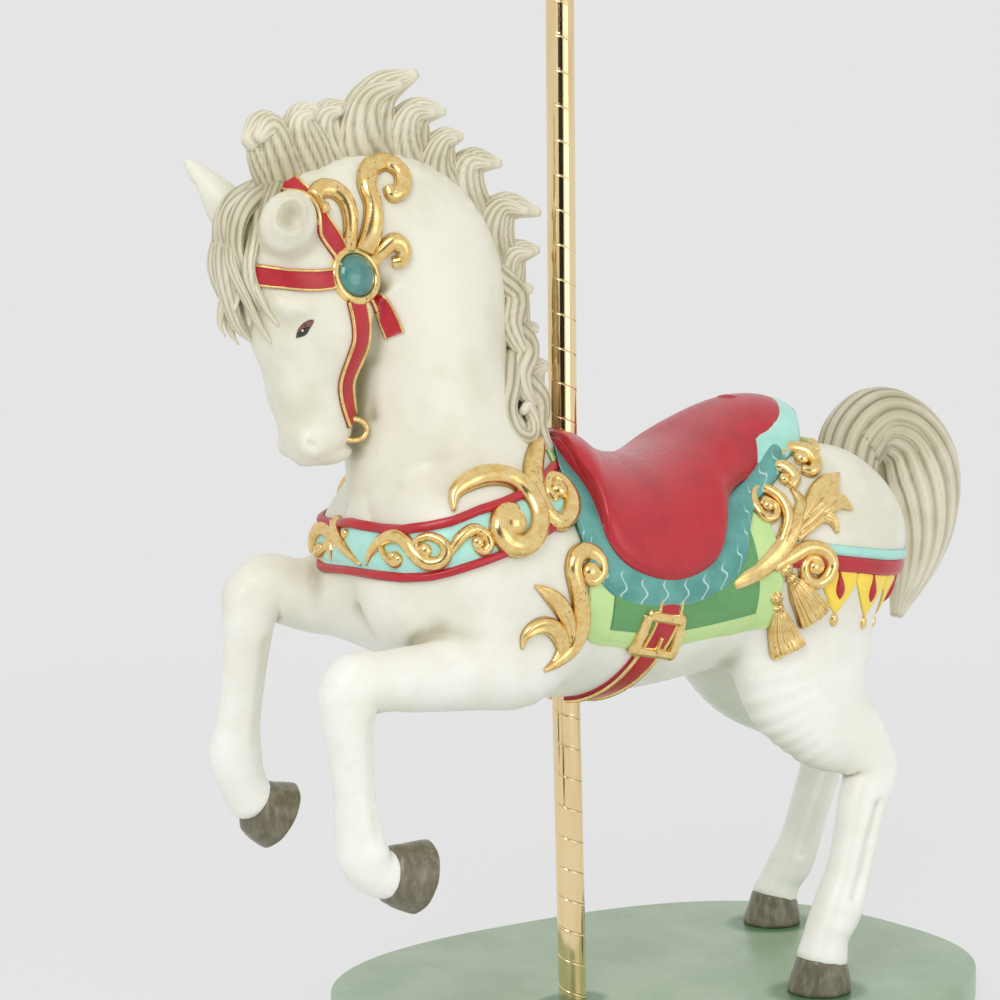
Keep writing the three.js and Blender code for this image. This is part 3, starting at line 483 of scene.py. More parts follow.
def stack(parts):
    """Several parts as one."""
    start = np.cumsum([0] + [len(part["points"]) for part in parts[:-1]])
    faces = [np.where(part["faces"] < 0, -1, part["faces"] + at) for part, at in zip(parts, start)]
    out = {key: np.concatenate([part[key] for part in parts]) for key in ("points", "wash_and_shade", "place")}
    return dict(out, faces=np.vstack(faces))


def piece(name, part, finish, replaces=None, normals=None):
    """One object of the horse, from a part in the horse frame, with its finish."""
    points, faces = part["points"], part["faces"]
    corners = faces[faces >= 0]
    sizes = np.where(faces[:, 3] < 0, 3, 4)
    mesh = bpy.data.meshes.new(name)
    mesh.vertices.add(len(points))
    mesh.vertices.foreach_set("co", ((points + POLE_FOOT) * MM).astype(np.float32).ravel())
    mesh.loops.add(len(corners))
    mesh.loops.foreach_set("vertex_index", corners.astype(np.int32))
    mesh.polygons.add(len(faces))
    mesh.polygons.foreach_set("loop_start", (np.cumsum(sizes) - sizes).astype(np.int32))
    mesh.update(calc_edges=True)
    mesh.shade_smooth()
    mesh.attributes.new("wash_and_shade", "FLOAT", "POINT").data.foreach_set("value", part["wash_and_shade"].astype(np.float32))
    places = mesh.uv_layers.new(name="place")
    places.data.foreach_set("uv", part["place"][corners].astype(np.float32).ravel())
    mesh.materials.append(finish)
    if normals is not None:
        mesh.normals_split_custom_set_from_vertices(normals)
    obj = bpy.data.objects.new(name, mesh)
    bpy.context.scene.collection.objects.link(obj)
    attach(obj, "root")
    if replaces:
        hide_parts(*replaces)
    return obj


# ---------- the casting's skin ----------
def skin(field, low, high, cell, block=6):
    """The field's surface as quads: one point in each cell that the surface crosses, at the mean of the
    crossings of its edges, and one quad round each grid edge that it crosses. The field is worked out
    only in blocks of cells near the surface."""
    low = np.array(low, np.float32)
    blocks = np.ceil((np.array(high) - low) / (cell * block)).astype(int)
    middles = [low[i] + cell * (block * np.arange(blocks[i]) + (block - 1) / 2) for i in range(3)]
    rough = field(np.stack(np.meshgrid(*middles, indexing="ij"), -1).reshape(-1, 3))
    value = np.where(rough > 0, 99, -99).astype(np.float32).reshape(blocks)
    for axis in range(3):
        value = np.repeat(value, block, axis)
    near = np.argwhere((np.abs(rough) < 1.3 * cell * block).reshape(blocks))
    inside_block = np.stack(np.meshgrid(*[np.arange(block)] * 3, indexing="ij"), -1).reshape(-1, 3)
    spots = (near[:, None] * block + inside_block).reshape(-1, 3)
    for chunk in np.array_split(spots, max(len(spots) // 400000, 1)):
        value[tuple(chunk.T)] = field(low + chunk.astype(np.float32) * cell)
    inside = value < 0
    corner = np.array([[i, j, k] for i in (0, 1) for j in (0, 1) for k in (0, 1)])
    size = np.array(value.shape) - 1
    count = sum(inside[i : size[0] + i, j : size[1] + j, k : size[2] + k].astype(np.int8) for i, j, k in corner)
    cells = np.argwhere((count > 0) & (count < 8))
    total, hits = np.zeros((len(cells), 3)), np.zeros(len(cells))
    for a in range(8):
        for b in range(a + 1, 8):
            if np.abs(corner[a] - corner[b]).sum() != 1:
                continue
            va, vb = value[tuple((cells + corner[a]).T)], value[tuple((cells + corner[b]).T)]
            cross = (va < 0) != (vb < 0)
            t = np.where(cross, va / np.where(cross, va - vb, 1), 0)[:, None]
            total += np.where(cross[:, None], corner[a] + t * (corner[b] - corner[a]), 0)
            hits += cross
    points = low + (cells + total / hits[:, None]) * cell
    number = np.full(value.shape, -1, np.int32)
    number[tuple(cells.T)] = np.arange(len(cells))
    faces = []
    for axis in range(3):
        u, v = (axis + 1) % 3, (axis + 2) % 3
        ahead = np.roll(inside, -1, axis)
        cross = np.argwhere(inside != ahead)
        cross = cross[(cross[:, axis] < size[axis]) & (cross[:, u] > 0) & (cross[:, v] > 0)]
        back_u, back_v = np.eye(3, dtype=int)[u], np.eye(3, dtype=int)[v]
        around = [number[tuple((cross - d).T)] for d in (back_u + back_v, back_v, 0 * back_u, back_u)]
        quads = np.stack(around, 1)
        leaving = inside[tuple(cross.T)]
        quads[~leaving] = quads[~leaving][:, ::-1]
        faces.append(quads[(quads >= 0).all(1)])
    return points, np.vstack(faces)


def relaxed(points, faces, rounds):
    """Points drawn to the mean of their neighbours and pushed back nearly as far, which takes out ripples
    and keeps the form's size."""
    here, there = faces.ravel(), np.roll(faces, -1, 1).ravel()
    count = np.maximum(np.bincount(here, minlength=len(points)), 1)
    for i in range(2 * rounds):
        total = [np.bincount(here, points[there, k], len(points)) for k in range(3)]
        mean = np.stack(total, 1) / count[:, None]
        points = points + (0.5 if i % 2 == 0 else -0.52) * (mean - points)
    return points


def point_normals(points, faces):
    """Outward unit direction at each point: the mean of its faces' directions, by their area."""
    across = np.cross(points[faces[:, 2]] - points[faces[:, 0]], points[faces[:, 3]] - points[faces[:, 1]])
    total = np.stack([np.bincount(faces.ravel(), np.repeat(across[:, k], 4), len(points)) for k in range(3)], 1)
    return unit(total)


def crowded(field, points, width):
    """How far the casting crowds in on each point: 0 on flat or rounded skin, up to 1 deep in a crease.
    The filled share of a sampled field is averaged three times over a box of so many cells."""
    filled = np.clip(0.5 - field.values / (2 * field.cell), 0, 1)
    for axis in (0, 1, 2) * 3:
        total = np.cumsum(np.insert(np.moveaxis(filled, axis, 0), 0, 0, axis=0), axis=0, dtype=np.float64)
        pad = width // 2
        mean = (total[width:] - total[:-width]) / width
        mean = np.pad(mean, ((pad, pad), (0, 0), (0, 0)), mode="edge").astype(np.float32)
        filled = np.moveaxis(mean, 0, axis)
    made = Sampled.__new__(Sampled)
    made.low, made.cell, made.values = field.low, field.cell, np.ascontiguousarray(filled)
    return np.clip((made(points) - 0.5) * 2, 0, 1)


# ---------- places on the casting ----------
GRID = 5  # mm between the samples of a field that things are laid on
bare = Sampled(casting, (-580, -240, 0), (680, 240, 1160), GRID)
chest = Sampled(torso, (-400, -240, 520), (20, 240, 800), GRID)


def round_upright(axis_x, turn, z, field=bare, reach=330):
    """Points on the skin at height z, met from outside at turn degrees about an upright line through
    axis_x: 0 is straight ahead, 90 the near side, -90 the far side and 180 the tail."""
    turn, z = np.broadcast_arrays(np.radians(np.asarray(turn, float)), np.asarray(z, float))
    way = np.stack([-np.cos(turn), -np.sin(turn), 0 * turn], -1)
    start = np.stack([axis_x + 0 * z, 0 * z, z], -1) + way * reach
    return march(field, start.reshape(-1, 3), -way.reshape(-1, 3)).reshape(way.shape)


def on_side(side, knots, steps):
    """A smooth line through [x, z, ...] knots seen square to the side, laid on the skin. Returns its
    points and its other columns."""
    knots = np.asarray(knots, float)
    flat = curve(np.insert(knots, 1, 0, axis=1), steps)
    start = flat[:, :3] + np.array([0, side * 330, 0])
    hit = march(bare, start, np.tile([0, -side, 0], (len(flat), 1)))
    hit[:, 1] = side * np.clip(side * hit[:, 1], 2, 330)  # a ray that passes over the back stops there
    return hit, flat[:, 3:]


def lifted(points, least):
    """Points pushed out along the field's slope until they stand at least so far off the casting."""
    flat = points.reshape(-1, 3).copy()
    for _ in range(3):
        short = np.maximum(least - bare(flat), 0)
        low = short > 0.01
        if low.any():
            flat[low] += slope(bare, flat[low]) * short[low, None]
    return flat.reshape(points.shape)


# ---------- raised work laid on the casting ----------
ROUND, LEAF, REED, FRINGE = "round", "leaf", "reed", "fringe"


def relief(spine, half, height, form=ROUND, sides=20, sink=3.0, field=bare):
    """A raised band carried along a spine on the skin: its section rises height above the skin in the
    middle and falls to it half away on both sides. A leaf has a valley along its middle, reed has four
    ribs and fringe nine. sink is how deep its underside is let into the skin."""
    n = len(spine)
    half, height = np.broadcast_to(half, n).astype(float), np.broadcast_to(height, n).astype(float)
    base = settle(field, spine, 3)
    normal = slope(field, base)
    tangent = unit(np.gradient(base, axis=0))
    across = unit(np.cross(normal, tangent))
    turn = all_round(sides)
    u, v = np.cos(turn), np.sin(turn)
    flat = base[:, None] + across[:, None] * (half[:, None] * u)[..., None]
    flat = settle(field, flat.reshape(-1, 3), 2)
    out = slope(field, flat).reshape(n, sides, 3)
    rise = np.maximum(v, 0) ** 0.8
    if form == LEAF:
        rise = rise * (1 - 0.5 * np.exp(-((u / 0.22) ** 2)))
    if form in (REED, FRINGE):
        rise = rise * (0.86 + 0.14 * np.cos(u * np.pi * (4 if form == REED else 9)))
    up = np.where(v > 0, height[:, None] * rise, -sink * np.abs(v) ** 0.5)
    rings = flat.reshape(n, sides, 3) + out * up[..., None]
    # The tone is dark where the section falls to the skin, in a leaf's valley, between ribs and on the
    # underside: painted shade in the creases, with antique tone.
    valley = np.clip(1 - rise / 0.9, 0, 1)
    return loft(rings, np.where(v > 0, valley, 1.0)[None, :] * np.ones((n, 1)))


def stroke(side, knots, form=ROUND, steps=None, **kw):
    """Raised work through [x, z, half width, height] knots in the side view."""
    knots = np.asarray(knots, float)
    spine, size = on_side(side, knots, steps or 6 * len(knots))
    return relief(spine, size[:, 0], size[:, 1], form, **kw)


def knob(centre, radii, normal, around=24, high=14):
    """A round boss: an ellipsoid about centre, its third radius along normal."""
    lat = np.pi * (np.arange(high) + 0.5) / high
    lon = all_round(around)
    ball = np.stack([np.sin(lat)[:, None] * np.cos(lon), np.sin(lat)[:, None] * np.sin(lon),
                     np.cos(lat)[:, None] * np.ones(around)], -1) * np.asarray(radii, float)
    return loft(np.asarray(centre) + ball @ np.stack(axes_of(normal)), 0.1)


# ---------- finishes ----------
def shade_of(text):
    """A colour written as an sRGB hex value, as linear red, green, blue and full opacity."""
    c = np.array([int(text[i : i + 2], 16) for i in (1, 3, 5)]) / 255
    return (*np.where(c < 0.04045, c / 12.92, ((c + 0.055) / 1.055) ** 2.4), 1.0)


def add(tree, kind, sockets=None, **settings):
    """A node with its settings, and its sockets set to values or linked from other nodes' sockets."""
    made = tree.nodes.new("ShaderNode" + kind)
    for name, value in settings.items():
        setattr(made, name, value)
    for name, value in (sockets or {}).items():
        if isinstance(value, bpy.types.NodeSocket):
            tree.links.new(value, made.inputs[name])
        else:
            made.inputs[name].default_value = value
    return made


def begin(name, *grains):
    """An empty material, its node tree, and cloudy noise for each grain: its size in mm, how many finer
    layers it has, how strong those are, and how it is scaled along X, Y and Z."""
    made = bpy.data.materials.new(name)
    made.use_nodes = True
    tree = made.node_tree
    tree.nodes.clear()
    clouds = []
    for size, detail, rough, scale in grains:
        place = add(tree, "TexCoord").outputs["Object"]
        place = add(tree, "Mapping", {"Vector": place, "Scale": scale}).outputs[0]
        sockets = {"Vector": place, "Scale": 1000 / size, "Detail": detail, "Roughness": rough}
        clouds.append(add(tree, "TexNoise", sockets).outputs["Fac"])
    return made, tree, *clouds


def coated(tree, ground, *coats):
    """A ground colour under coats of paint. Each coat is [mask, low, high, least, most, colour]: where the
    mask climbs from low to high, the coat's share goes smoothly from least to most."""
    for mask, low, high, least, most, colour in coats:
        sockets = {0: mask, 1: low, 2: high, 3: least, 4: most}
        share = add(tree, "MapRange", sockets, interpolation_type="SMOOTHSTEP")
        ground = add(tree, "Mix", {0: share.outputs[0], 6: ground, 7: colour}, data_type="RGBA").outputs[2]
    return ground


def shine(tree, colour, rough, relief_of=None, **sockets):
    """The surface, joined to the material's output. rough is a number, or [mask, low, high, least, most].
    relief_of is [mask, its height in mm, its strength]."""
    if isinstance(rough, (list, tuple)):
        made = add(tree, "MapRange", dict(enumerate(rough)), interpolation_type="SMOOTHSTEP")
        rough = made.outputs[0]
    sockets = {name.replace("_", " "): value for name, value in sockets.items()}
    if relief_of:
        mask, tall, strength = relief_of
        made = add(tree, "Bump", {"Height": mask, "Distance": tall * MM, "Strength": strength})
        sockets["Normal"] = made.outputs[0]
    made = add(tree, "BsdfPrincipled", {"Base Color": colour, "Roughness": rough, **sockets})
    add(tree, "OutputMaterial", {"Surface": made.outputs[0]})


EVEN = (1, 1, 1)  # noise of the same scale along all three axes


def brushed_enamel(name, colour, deep, pale, rough=0.34, gloss=0.35):
    """Hand-brushed enamel over resin: the eye sees one strong colour that turns deeper where the brush left
    more of it and paler where it was dragged thin, deeper again along rims, edges and the foot of raised work,
    which is painted shade, soft highlights, and faint brush lines."""
    made, tree, cloud, streak = begin(name, (46, 4, 0.55, EVEN), (7, 3, 0.6, (1, 1, 0.22)))
    wash_and_shade = add(tree, "Attribute", attribute_name="wash_and_shade").outputs["Fac"]
    colour = coated(
        tree, shade_of(colour),
        (cloud, 0.4, 0.75, 0, 0.6, shade_of(deep)),
        (streak, 0.55, 0.85, 0, 0.22, shade_of(pale)),
        # deeper along rims, edges and the foot of raised work: painted shade
        (wash_and_shade, 0.25, 1.0, 0, 0.45, shade_of(deep)),
    )
    shine(tree, colour, (streak, 0.3, 0.8, rough - 0.06, rough + 0.08), (streak, 0.18, 0.4),
          Coat_Weight=gloss, Coat_Roughness=0.22)
    return made


def casting_cream():
    """Cast resin sprayed ivory, with an antique tone wiped back, under a satin coat: the eye sees a warm white,
    paler and cooler on the legs and darker from the belly up, painted light by height, that turns grey-green
    in every hollow and crease, painted shade as well as antique tone, cloudy where it was wiped."""
    made, tree, cloud, fine = begin("ivory_resin_wiped_and_shaded", (85, 3, 0.55, EVEN), (9, 4, 0.6, EVEN))
    wash_and_shade = add(tree, "Attribute", attribute_name="wash_and_shade").outputs["Fac"]
    place = add(tree, "TexCoord").outputs["Object"]
    height = add(tree, "SeparateXYZ", {0: place}).outputs[2]
    legs_end, neck_starts = 0.42, 0.78  # heights in metres between which the ivory turns darker and warmer: painted light by height
    # The ivory is paler on the legs and darker higher up: the step in brightness is painted light by height.
    body = coated(tree, shade_of("#f7f7f0"), (height, legs_end, neck_starts, 0, 1, shade_of("#eae8d7")))
    shade = coated(tree, shade_of("#efeee2"), (height, legs_end, neck_starts, 0, 1, shade_of("#dedbc4")))
    sockets = {0: cloud, 1: 0.3, 2: 0.7, 3: 0.7, 4: 1.2}
    wiped = add(tree, "MapRange", sockets, interpolation_type="SMOOTHSTEP")
    wear_and_shade = add(tree, "Math", {0: wash_and_shade, 1: wiped.outputs[0]}, operation="MULTIPLY").outputs[0]
    colour = coated(
        tree, body,
        (cloud, 0.35, 0.7, 0, 1, shade),
        (fine, 0.5, 0.8, 0, 0.25, shade_of("#e2dfca")),
        # grey-green in creases and hollows: painted shade, with the antique tone
        (wear_and_shade, 0.02, 0.8, 0, 0.8, shade_of("#aaa482")),
    )
    shine(tree, colour, (fine, 0.3, 0.7, 0.36, 0.46), (fine, 0.3, 0.35),
          Coat_Weight=0.22, Coat_Roughness=0.25,
          Subsurface_Weight=0.04, Subsurface_Radius=(1.0, 0.8, 0.6), Subsurface_Scale=0.004)
    return made


def carved_hair():
    """Carved locks, ivory dry-brushed over grey-brown: the eye sees pale ridges, a painted highlight, and dark
    grooves and roots, painted shade as well as the grey-brown ground.
    """
    made, tree, cloud, fine = begin("carved_hair_washed_shaded_highlit", (60, 2, 0.4, EVEN), (4, 3, 0.55, EVEN))
    wash_and_shade = add(tree, "Attribute", attribute_name="wash_and_shade").outputs["Fac"]
    sockets = {0: cloud, 1: 0.2, 2: 0.8, 3: 0.92, 4: 1.08}
    wiped = add(tree, "MapRange", sockets, interpolation_type="SMOOTHSTEP")
    groove = add(tree, "Math", {0: wash_and_shade, 1: wiped.outputs[0]}, operation="MULTIPLY").outputs[0]
    colour = coated(
        tree, shade_of("#dbd5bb"),
        (cloud, 0.35, 0.7, 0, 1, shade_of("#cac3a2")),
        # pale ridges where the tone is low: a painted highlight
        (wash_and_shade, 0.0, 0.22, 0.6, 0, shade_of("#f0ecd9")),
        # dark grooves where the tone is high: grey-brown ground and painted shade
        (groove, 0.1, 0.8, 0, 0.95, shade_of("#8b8363")),
    )
    shine(tree, colour, 0.42, (fine, 0.25, 0.4), Coat_Weight=0.15, Coat_Roughness=0.3)
    return made


def leaf_gilding():
    """Imitation gold leaf laid over resin: the eye sees pale satin gold with fine creases, umber in the valleys
    and where the relief meets the skin, painted shade as well as antique umber, and a few dark specks where the
    leaf broke."""
    made, tree, crease, fleck, patch = begin(
        "gold_leaf_worn_and_shaded", (11, 5, 0.65, EVEN), (3.5, 2, 0.5, EVEN), (60, 2, 0.55, EVEN))
    wash_and_shade = add(tree, "Attribute", attribute_name="wash_and_shade").outputs["Fac"]
    # umber where the leaf broke, and in the valleys and round the foot of the relief, which is painted shade
    specks, zones, valley_wash_and_shade = (
        add(tree, "MapRange", {0: mask, 1: low, 2: high, 4: most}, interpolation_type="SMOOTHSTEP").outputs[0]
        for mask, low, high, most in ((fleck, 0.6, 0.68, 1), (patch, 0.52, 0.66, 0.8), (wash_and_shade, 0.3, 1.0, 0.7))
    )
    broken = add(tree, "Math", {0: specks, 1: zones}, operation="MULTIPLY").outputs[0]
    wear_and_shade = add(tree, "Math", {0: broken, 1: valley_wash_and_shade}, operation="MAXIMUM").outputs[0]
    leaf = coated(tree, shade_of("#f9df9f"), (crease, 0.3, 0.75, 0, 1, shade_of("#e8c074")))
    colour = add(tree, "Mix", {0: wear_and_shade, 6: leaf, 7: shade_of("#8d6a35")}, data_type="RGBA").outputs[2]
    shine(tree, colour, (crease, 0.3, 0.75, 0.16, 0.27), (crease, 0.6, 0.4), Metallic=0.9)
    return made


def pole_plating():
    """Polished brass tube: the eye sees a bright mirror gold with long soft reflections."""
    made, tree, haze = begin("polished_brass_tube", (30, 3, 0.5, (1, 1, 0.1)))
    colour = coated(tree, shade_of("#f8e2b4"), (haze, 0.4, 0.7, 0, 1, shade_of("#efd199")))
    shine(tree, colour, (haze, 0.35, 0.7, 0.07, 0.12), (haze, 0.15, 0.25), Metallic=1.0)
    return made


def hoof_paint():
    """Grey-brown paint brushed down the hoof: the eye sees dark satin with paler streaks."""
    made, tree, streak = begin("hoof_brushed_umber", (9, 4, 0.6, (1, 1, 0.3)))
    colour = coated(tree, shade_of("#655f49"), (streak, 0.4, 0.75, 0, 1, shade_of("#87816a")))
    shine(tree, colour, (streak, 0.3, 0.8, 0.28, 0.45), (streak, 0.6, 0.6), Coat_Weight=0.3, Coat_Roughness=0.2)
    return made


def base_green():
    """Green enamel brushed over the base board: the eye sees a soft grey-green with cloudy brush work, and a
    deeper green round the hooves and the pole, a painted shadow where they stand on it."""
    made, tree, cloud, fine = begin("base_brushed_green", (120, 4, 0.55, EVEN), (8, 4, 0.6, EVEN))
    wash_and_shade = add(tree, "Attribute", attribute_name="wash_and_shade").outputs["Fac"]
    colour = coated(
        tree, shade_of("#a2b99b"),
        (cloud, 0.35, 0.7, 0, 1, shade_of("#93ac8b")),
        (fine, 0.6, 0.85, 0, 0.3, shade_of("#c0cbb8")),
        # deeper green round the hooves and the pole: painted shadow
        (wash_and_shade, 0.1, 0.9, 0, 0.9, shade_of("#4f7d50")),
    )
    shine(tree, colour, (fine, 0.3, 0.75, 0.3, 0.42), (fine, 0.4, 0.4), Coat_Weight=0.25, Coat_Roughness=0.2)
    return made


def waved_border():
    """Teal enamel border with pale lines drawn across it by hand: each line runs from the seat to the
    rim in a slow wave. The piece's map gives mm along the border and mm from its rim. A line lies where
    (along + 4 sin(0.26 across) + 16 noise) is a whole number of times 34."""
    made, tree, cloud, streak, drift = begin(
        "border_enamel_waved", (40, 4, 0.55, EVEN), (6, 3, 0.6, EVEN), (70, 1, 0.55, EVEN))
    place = add(tree, "UVMap", uv_map="place").outputs[0]
    along, across, _ = add(tree, "SeparateXYZ", {0: place}).outputs
    phase = add(tree, "Math", {0: across, 1: 0.26}, operation="MULTIPLY").outputs[0]
    wave = add(tree, "Math", {0: phase}, operation="SINE").outputs[0]
    for part, size in ((wave, 4.0), (drift, 16.0)):
        part = add(tree, "Math", {0: part, 1: size}, operation="MULTIPLY").outputs[0]
        along = add(tree, "Math", {0: along, 1: part}, operation="ADD").outputs[0]
    gap = add(tree, "Math", {0: along, 1: 17.0}, operation="PINGPONG").outputs[0]
    line = 1.0
    for mask, low, high, least, most in (
        (across, 0.5, 4.0, 0, 1), (across, 30.0, 40.0, 1, 0), (gap, 0.7, 2.2, 1, 0)
    ):
        sockets = {0: mask, 1: low, 2: high, 3: least, 4: most}
        share = add(tree, "MapRange", sockets, interpolation_type="SMOOTHSTEP")
        line = add(tree, "Math", {0: line, 1: share.outputs[0]}, operation="MULTIPLY").outputs[0]
    ground = coated(
        tree, shade_of("#62a89e"),
        (cloud, 0.35, 0.7, 0, 1, shade_of("#4c948b")),
        (streak, 0.55, 0.8, 0, 0.3, shade_of("#84b5ad")),
    )
    colour = add(tree, "Mix", {0: line, 6: ground, 7: shade_of("#b5d8cf")}, data_type="RGBA").outputs[2]
    shine(tree, colour, (streak, 0.3, 0.8, 0.3, 0.42), (line, 0.6, 0.5), Coat_Weight=0.3, Coat_Roughness=0.22)
    return made


def cabochon_glaze():
    """A glass-like stone painted deep teal: dark, wet and very smooth."""
    made, tree, cloud = begin("cabochon_teal_gloss", (22, 3, 0.55, EVEN))
    colour = coated(tree, shade_of("#4f9189"), (cloud, 0.3, 0.75, 0, 1, shade_of("#2f6d68")))
    shine(tree, colour, 0.12, (cloud, 0.2, 0.2), Coat_Weight=0.8, Coat_Roughness=0.05)
    return made


def eye_gloss(name, colour, edge):
    """Gloss varnish over a painted eye: deep colour with a second tone clouded through it."""
    made, tree, cloud = begin(name, (6, 2, 0.55, EVEN))
    colour = coated(tree, shade_of(colour), (cloud, 0.4, 0.7, 0, 1, shade_of(edge)))
    shine(tree, colour, 0.12, Coat_Weight=0.9, Coat_Roughness=0.04)
    return made


cream = casting_cream()
hair = carved_hair()
gold = leaf_gilding()
brass = pole_plating()
umber = hoof_paint()
grass = base_green()
teal = waved_border()
red = brushed_enamel("saddle_enamel_red", "#bb1c2a", "#a11523", "#cf525c", 0.34, 0.25)
aqua = brushed_enamel("band_enamel_aqua", "#b0e6d8", "#8fd0c3", "#d4f1e8")
light_green = brushed_enamel("blanket_enamel_light_green", "#c6e59a", "#b2d586", "#d8ecb6")
dark_green = brushed_enamel("blanket_enamel_dark_green", "#609f5e", "#4b8a4f", "#85b67c")
yellow = brushed_enamel("pennant_enamel_yellow", "#ffe14d", "#f3c936", "#fdee8c")
stone = cabochon_glaze()
pupil = eye_gloss("eye_varnish_black", "#17120f", "#2a1c14")
lid = eye_gloss("eye_varnish_brown", "#7a4a36", "#4f2c20")
glint = eye_gloss("eye_varnish_glint", "#f7f4ea", "#e8e4d8")


# ---------- the casting ----------
SKIN_LOW, SKIN_HIGH = (-560, -215, 30), (640, 215, 1130)  # a box round the bare horse
points, faces = skin(casting, SKIN_LOW, SKIN_HIGH, 4.2)
points = relaxed(points, faces, 4)
points = settle(casting, points, 1)
points = relaxed(points, faces, 4)
normals = point_normals(points, faces)
# The dark tone of the skin: where the casting crowds in, in creases and hollows, it is painted shade and
# antique tone in one.
tone = 1.3 * crowded(bare, points, 3) + 2.2 * crowded(bare, points, 9)
for _, hollow in casting_cuts[:2]:  # painted shade and the antique tone also lie in the hollows of the ears
    tone += 0.4 * np.exp(-np.maximum(hollow(points), 0) / 4)
tone = np.clip(tone, 0, 1)


def share_of_skin(name, keep):
    """The faces of the skin that keep says, as an object whose shading runs on across the cut."""
    kept = faces[keep]
    used, again = np.unique(kept, return_inverse=True)
    part = dict(points=points[used], faces=again.reshape(-1, 4), wash_and_shade=tone[used])
    part["place"] = np.zeros((len(used), 2))
    return piece(name, part, cream, ["horse"], normals[used])


# The casting is shown as two pieces, parted on a slanting plane behind the shoulder, under the saddle.
middle = points[faces].mean(1)
fore = middle[:, 0] + 0.35 * (middle[:, 2] - 600) < -95
share_of_skin("casting_fore", fore)
share_of_skin("casting_hind", ~fore)

# ---------- hooves ----------
# Each hoof: middle of its top, direction of its axis, its length, and the way its toe points.
HOOVES = [
    [(-366, -122, 241), (1, 0, -0.3), 44, (0.3, 0, 1)],
    [(-420, 112, 291), (0.86, 0, -0.5), 38, (0.5, 0, 0.86)],
    [(307, -156, 44.5), (0, 0, -1), 44, (-1, 0, 0)],
    [(508, 161, 44.5), (0, 0, -1), 44, (-1, 0, 0)],
]


def hoof(top, axis, long, toe):
    """A flared cup: rings grow from the coronet to the sole, longer towards the toe, round a flat sole."""
    axis = unit(np.array(axis, float))
    ahead = unit(np.array(toe, float) - axis * np.dot(toe, axis))
    aside = np.cross(axis, ahead)
    t = np.array([-0.14, -0.05, 0, 0.12, 0.3, 0.5, 0.7, 0.86, 0.95, 1.0, 1.0, 1.0])
    grow = np.array([27, 32, 34.5, 36, 38.5, 41, 43, 44.5, 45, 43.5, 30, 12.0])
    turn = all_round(64)
    rib = 1 + 0.006 * np.sin(turn * 9 + 1)
    out = grow[:, None] * rib * (1 + 0.10 * t[:, None] * np.cos(turn))
    along = (t * long)[:, None] - 3.5 * np.cos(turn)[None] * (t[:, None] <= 0.12)
    rings = np.array(top, float) + axis * along[..., None] + ahead * (out * np.cos(turn))[..., None]
    rings = rings + aside * (out * 0.92 * np.sin(turn))[..., None]
    return loft(rings, 0.1)


piece("hooves", stack([hoof(*row) for row in HOOVES]), umber, ["horse"])

# ---------- mane, forelock and tail ----------
# Locks: [x, y, z, half thickness across the horse, half width in its plane] from root to tip.
LOCKS = [
    [[-428, 0, 1040, 22, 34], [-452, -8, 1092, 24, 36], [-472, -14, 1124, 19, 26], [-496, -18, 1106, 7, 9]],
    [[-395, 0, 1060, 20, 40], [-410, -6, 1108, 20, 38], [-414, -8, 1144, 16, 22], [-396, -10, 1158, 5, 7]],
    [[-356, 0, 1070, 20, 46], [-376, 4, 1122, 19, 38], [-370, 4, 1154, 14, 20], [-346, 0, 1164, 4, 6]],
    [[-300, 0, 1070, 22, 62], [-318, 0, 1132, 21, 50], [-302, 0, 1182, 17, 28], [-246, 0, 1212, 4, 6]],
    [[-250, 0, 1070, 22, 52], [-262, 0, 1124, 20, 42], [-244, 0, 1162, 14, 23], [-204, 0, 1168, 3, 5]],
    [[-208, -2, 1050, 20, 46], [-222, -6, 1100, 18, 34], [-206, -6, 1132, 12, 18], [-182, -6, 1138, 3, 5]],
    [[-170, 0, 1015, 22, 52], [-178, 0, 1072, 19, 40], [-160, 0, 1106, 13, 22], [-118, 0, 1108, 3, 5]],
    [[-142, 0, 960, 22, 54], [-134, 0, 1020, 19, 40], [-108, 0, 1052, 13, 22], [-56, 0, 1048, 3, 5]],
    [[-126, 0, 912, 22, 48], [-112, 0, 966, 19, 34], [-92, 0, 994, 12, 20], [-58, 0, 1000, 3, 5]],
    [[-122, 0, 860, 22, 46], [-108, -6, 912, 19, 32], [-88, -8, 946, 8, 13], [-74, -8, 950, 3, 4]],
    [[-120, 0, 806, 24, 46], [-102, -4, 862, 20, 34], [-78, -4, 896, 8, 13], [-62, -4, 900, 3, 4]],
    [[-118, 0, 750, 26, 46], [-96, -8, 806, 22, 38], [-66, -8, 846, 12, 16], [-50, -8, 852, 3, 4]],
]
# Locks that fall down the near side of the crest and curl at their ends, laid on the neck.
SIDE_LOCKS = [
    [[-150, -30, 968, 14, 17], [-128, -46, 936, 15, 18], [-138, -50, 900, 14, 16], [-122, -52, 866, 9, 10],
     [-104, -50, 850, 3, 4]],
    [[-134, -36, 905, 14, 17], [-112, -48, 872, 15, 18], [-128, -54, 836, 14, 17], [-116, -56, 808, 9, 10],
     [-96, -50, 796, 3, 4]],
    [[-132, -44, 862, 13, 15], [-146, -60, 826, 13, 16], [-160, -72, 792, 12, 15], [-150, -76, 764, 12, 14],
     [-124, -70, 758, 11, 12], [-110, -60, 778, 9, 10], [-120, -62, 796, 7, 8], [-134, -70, 790, 4, 5]],
    [[-112, -36, 840, 14, 17], [-92, -44, 806, 15, 18], [-98, -52, 770, 13, 15], [-84, -56, 742, 8, 9],
     [-70, -54, 732, 3, 4]],
]
FORELOCK = [
    [-458, 8, 1062, 26, 22], [-492, 8, 1036, 30, 20], [-507, 10, 985, 28, 15], [-502, 12, 935, 24, 13],
    [-492, 12, 890, 12, 9], [-478, 8, 872, 5, 5],
]
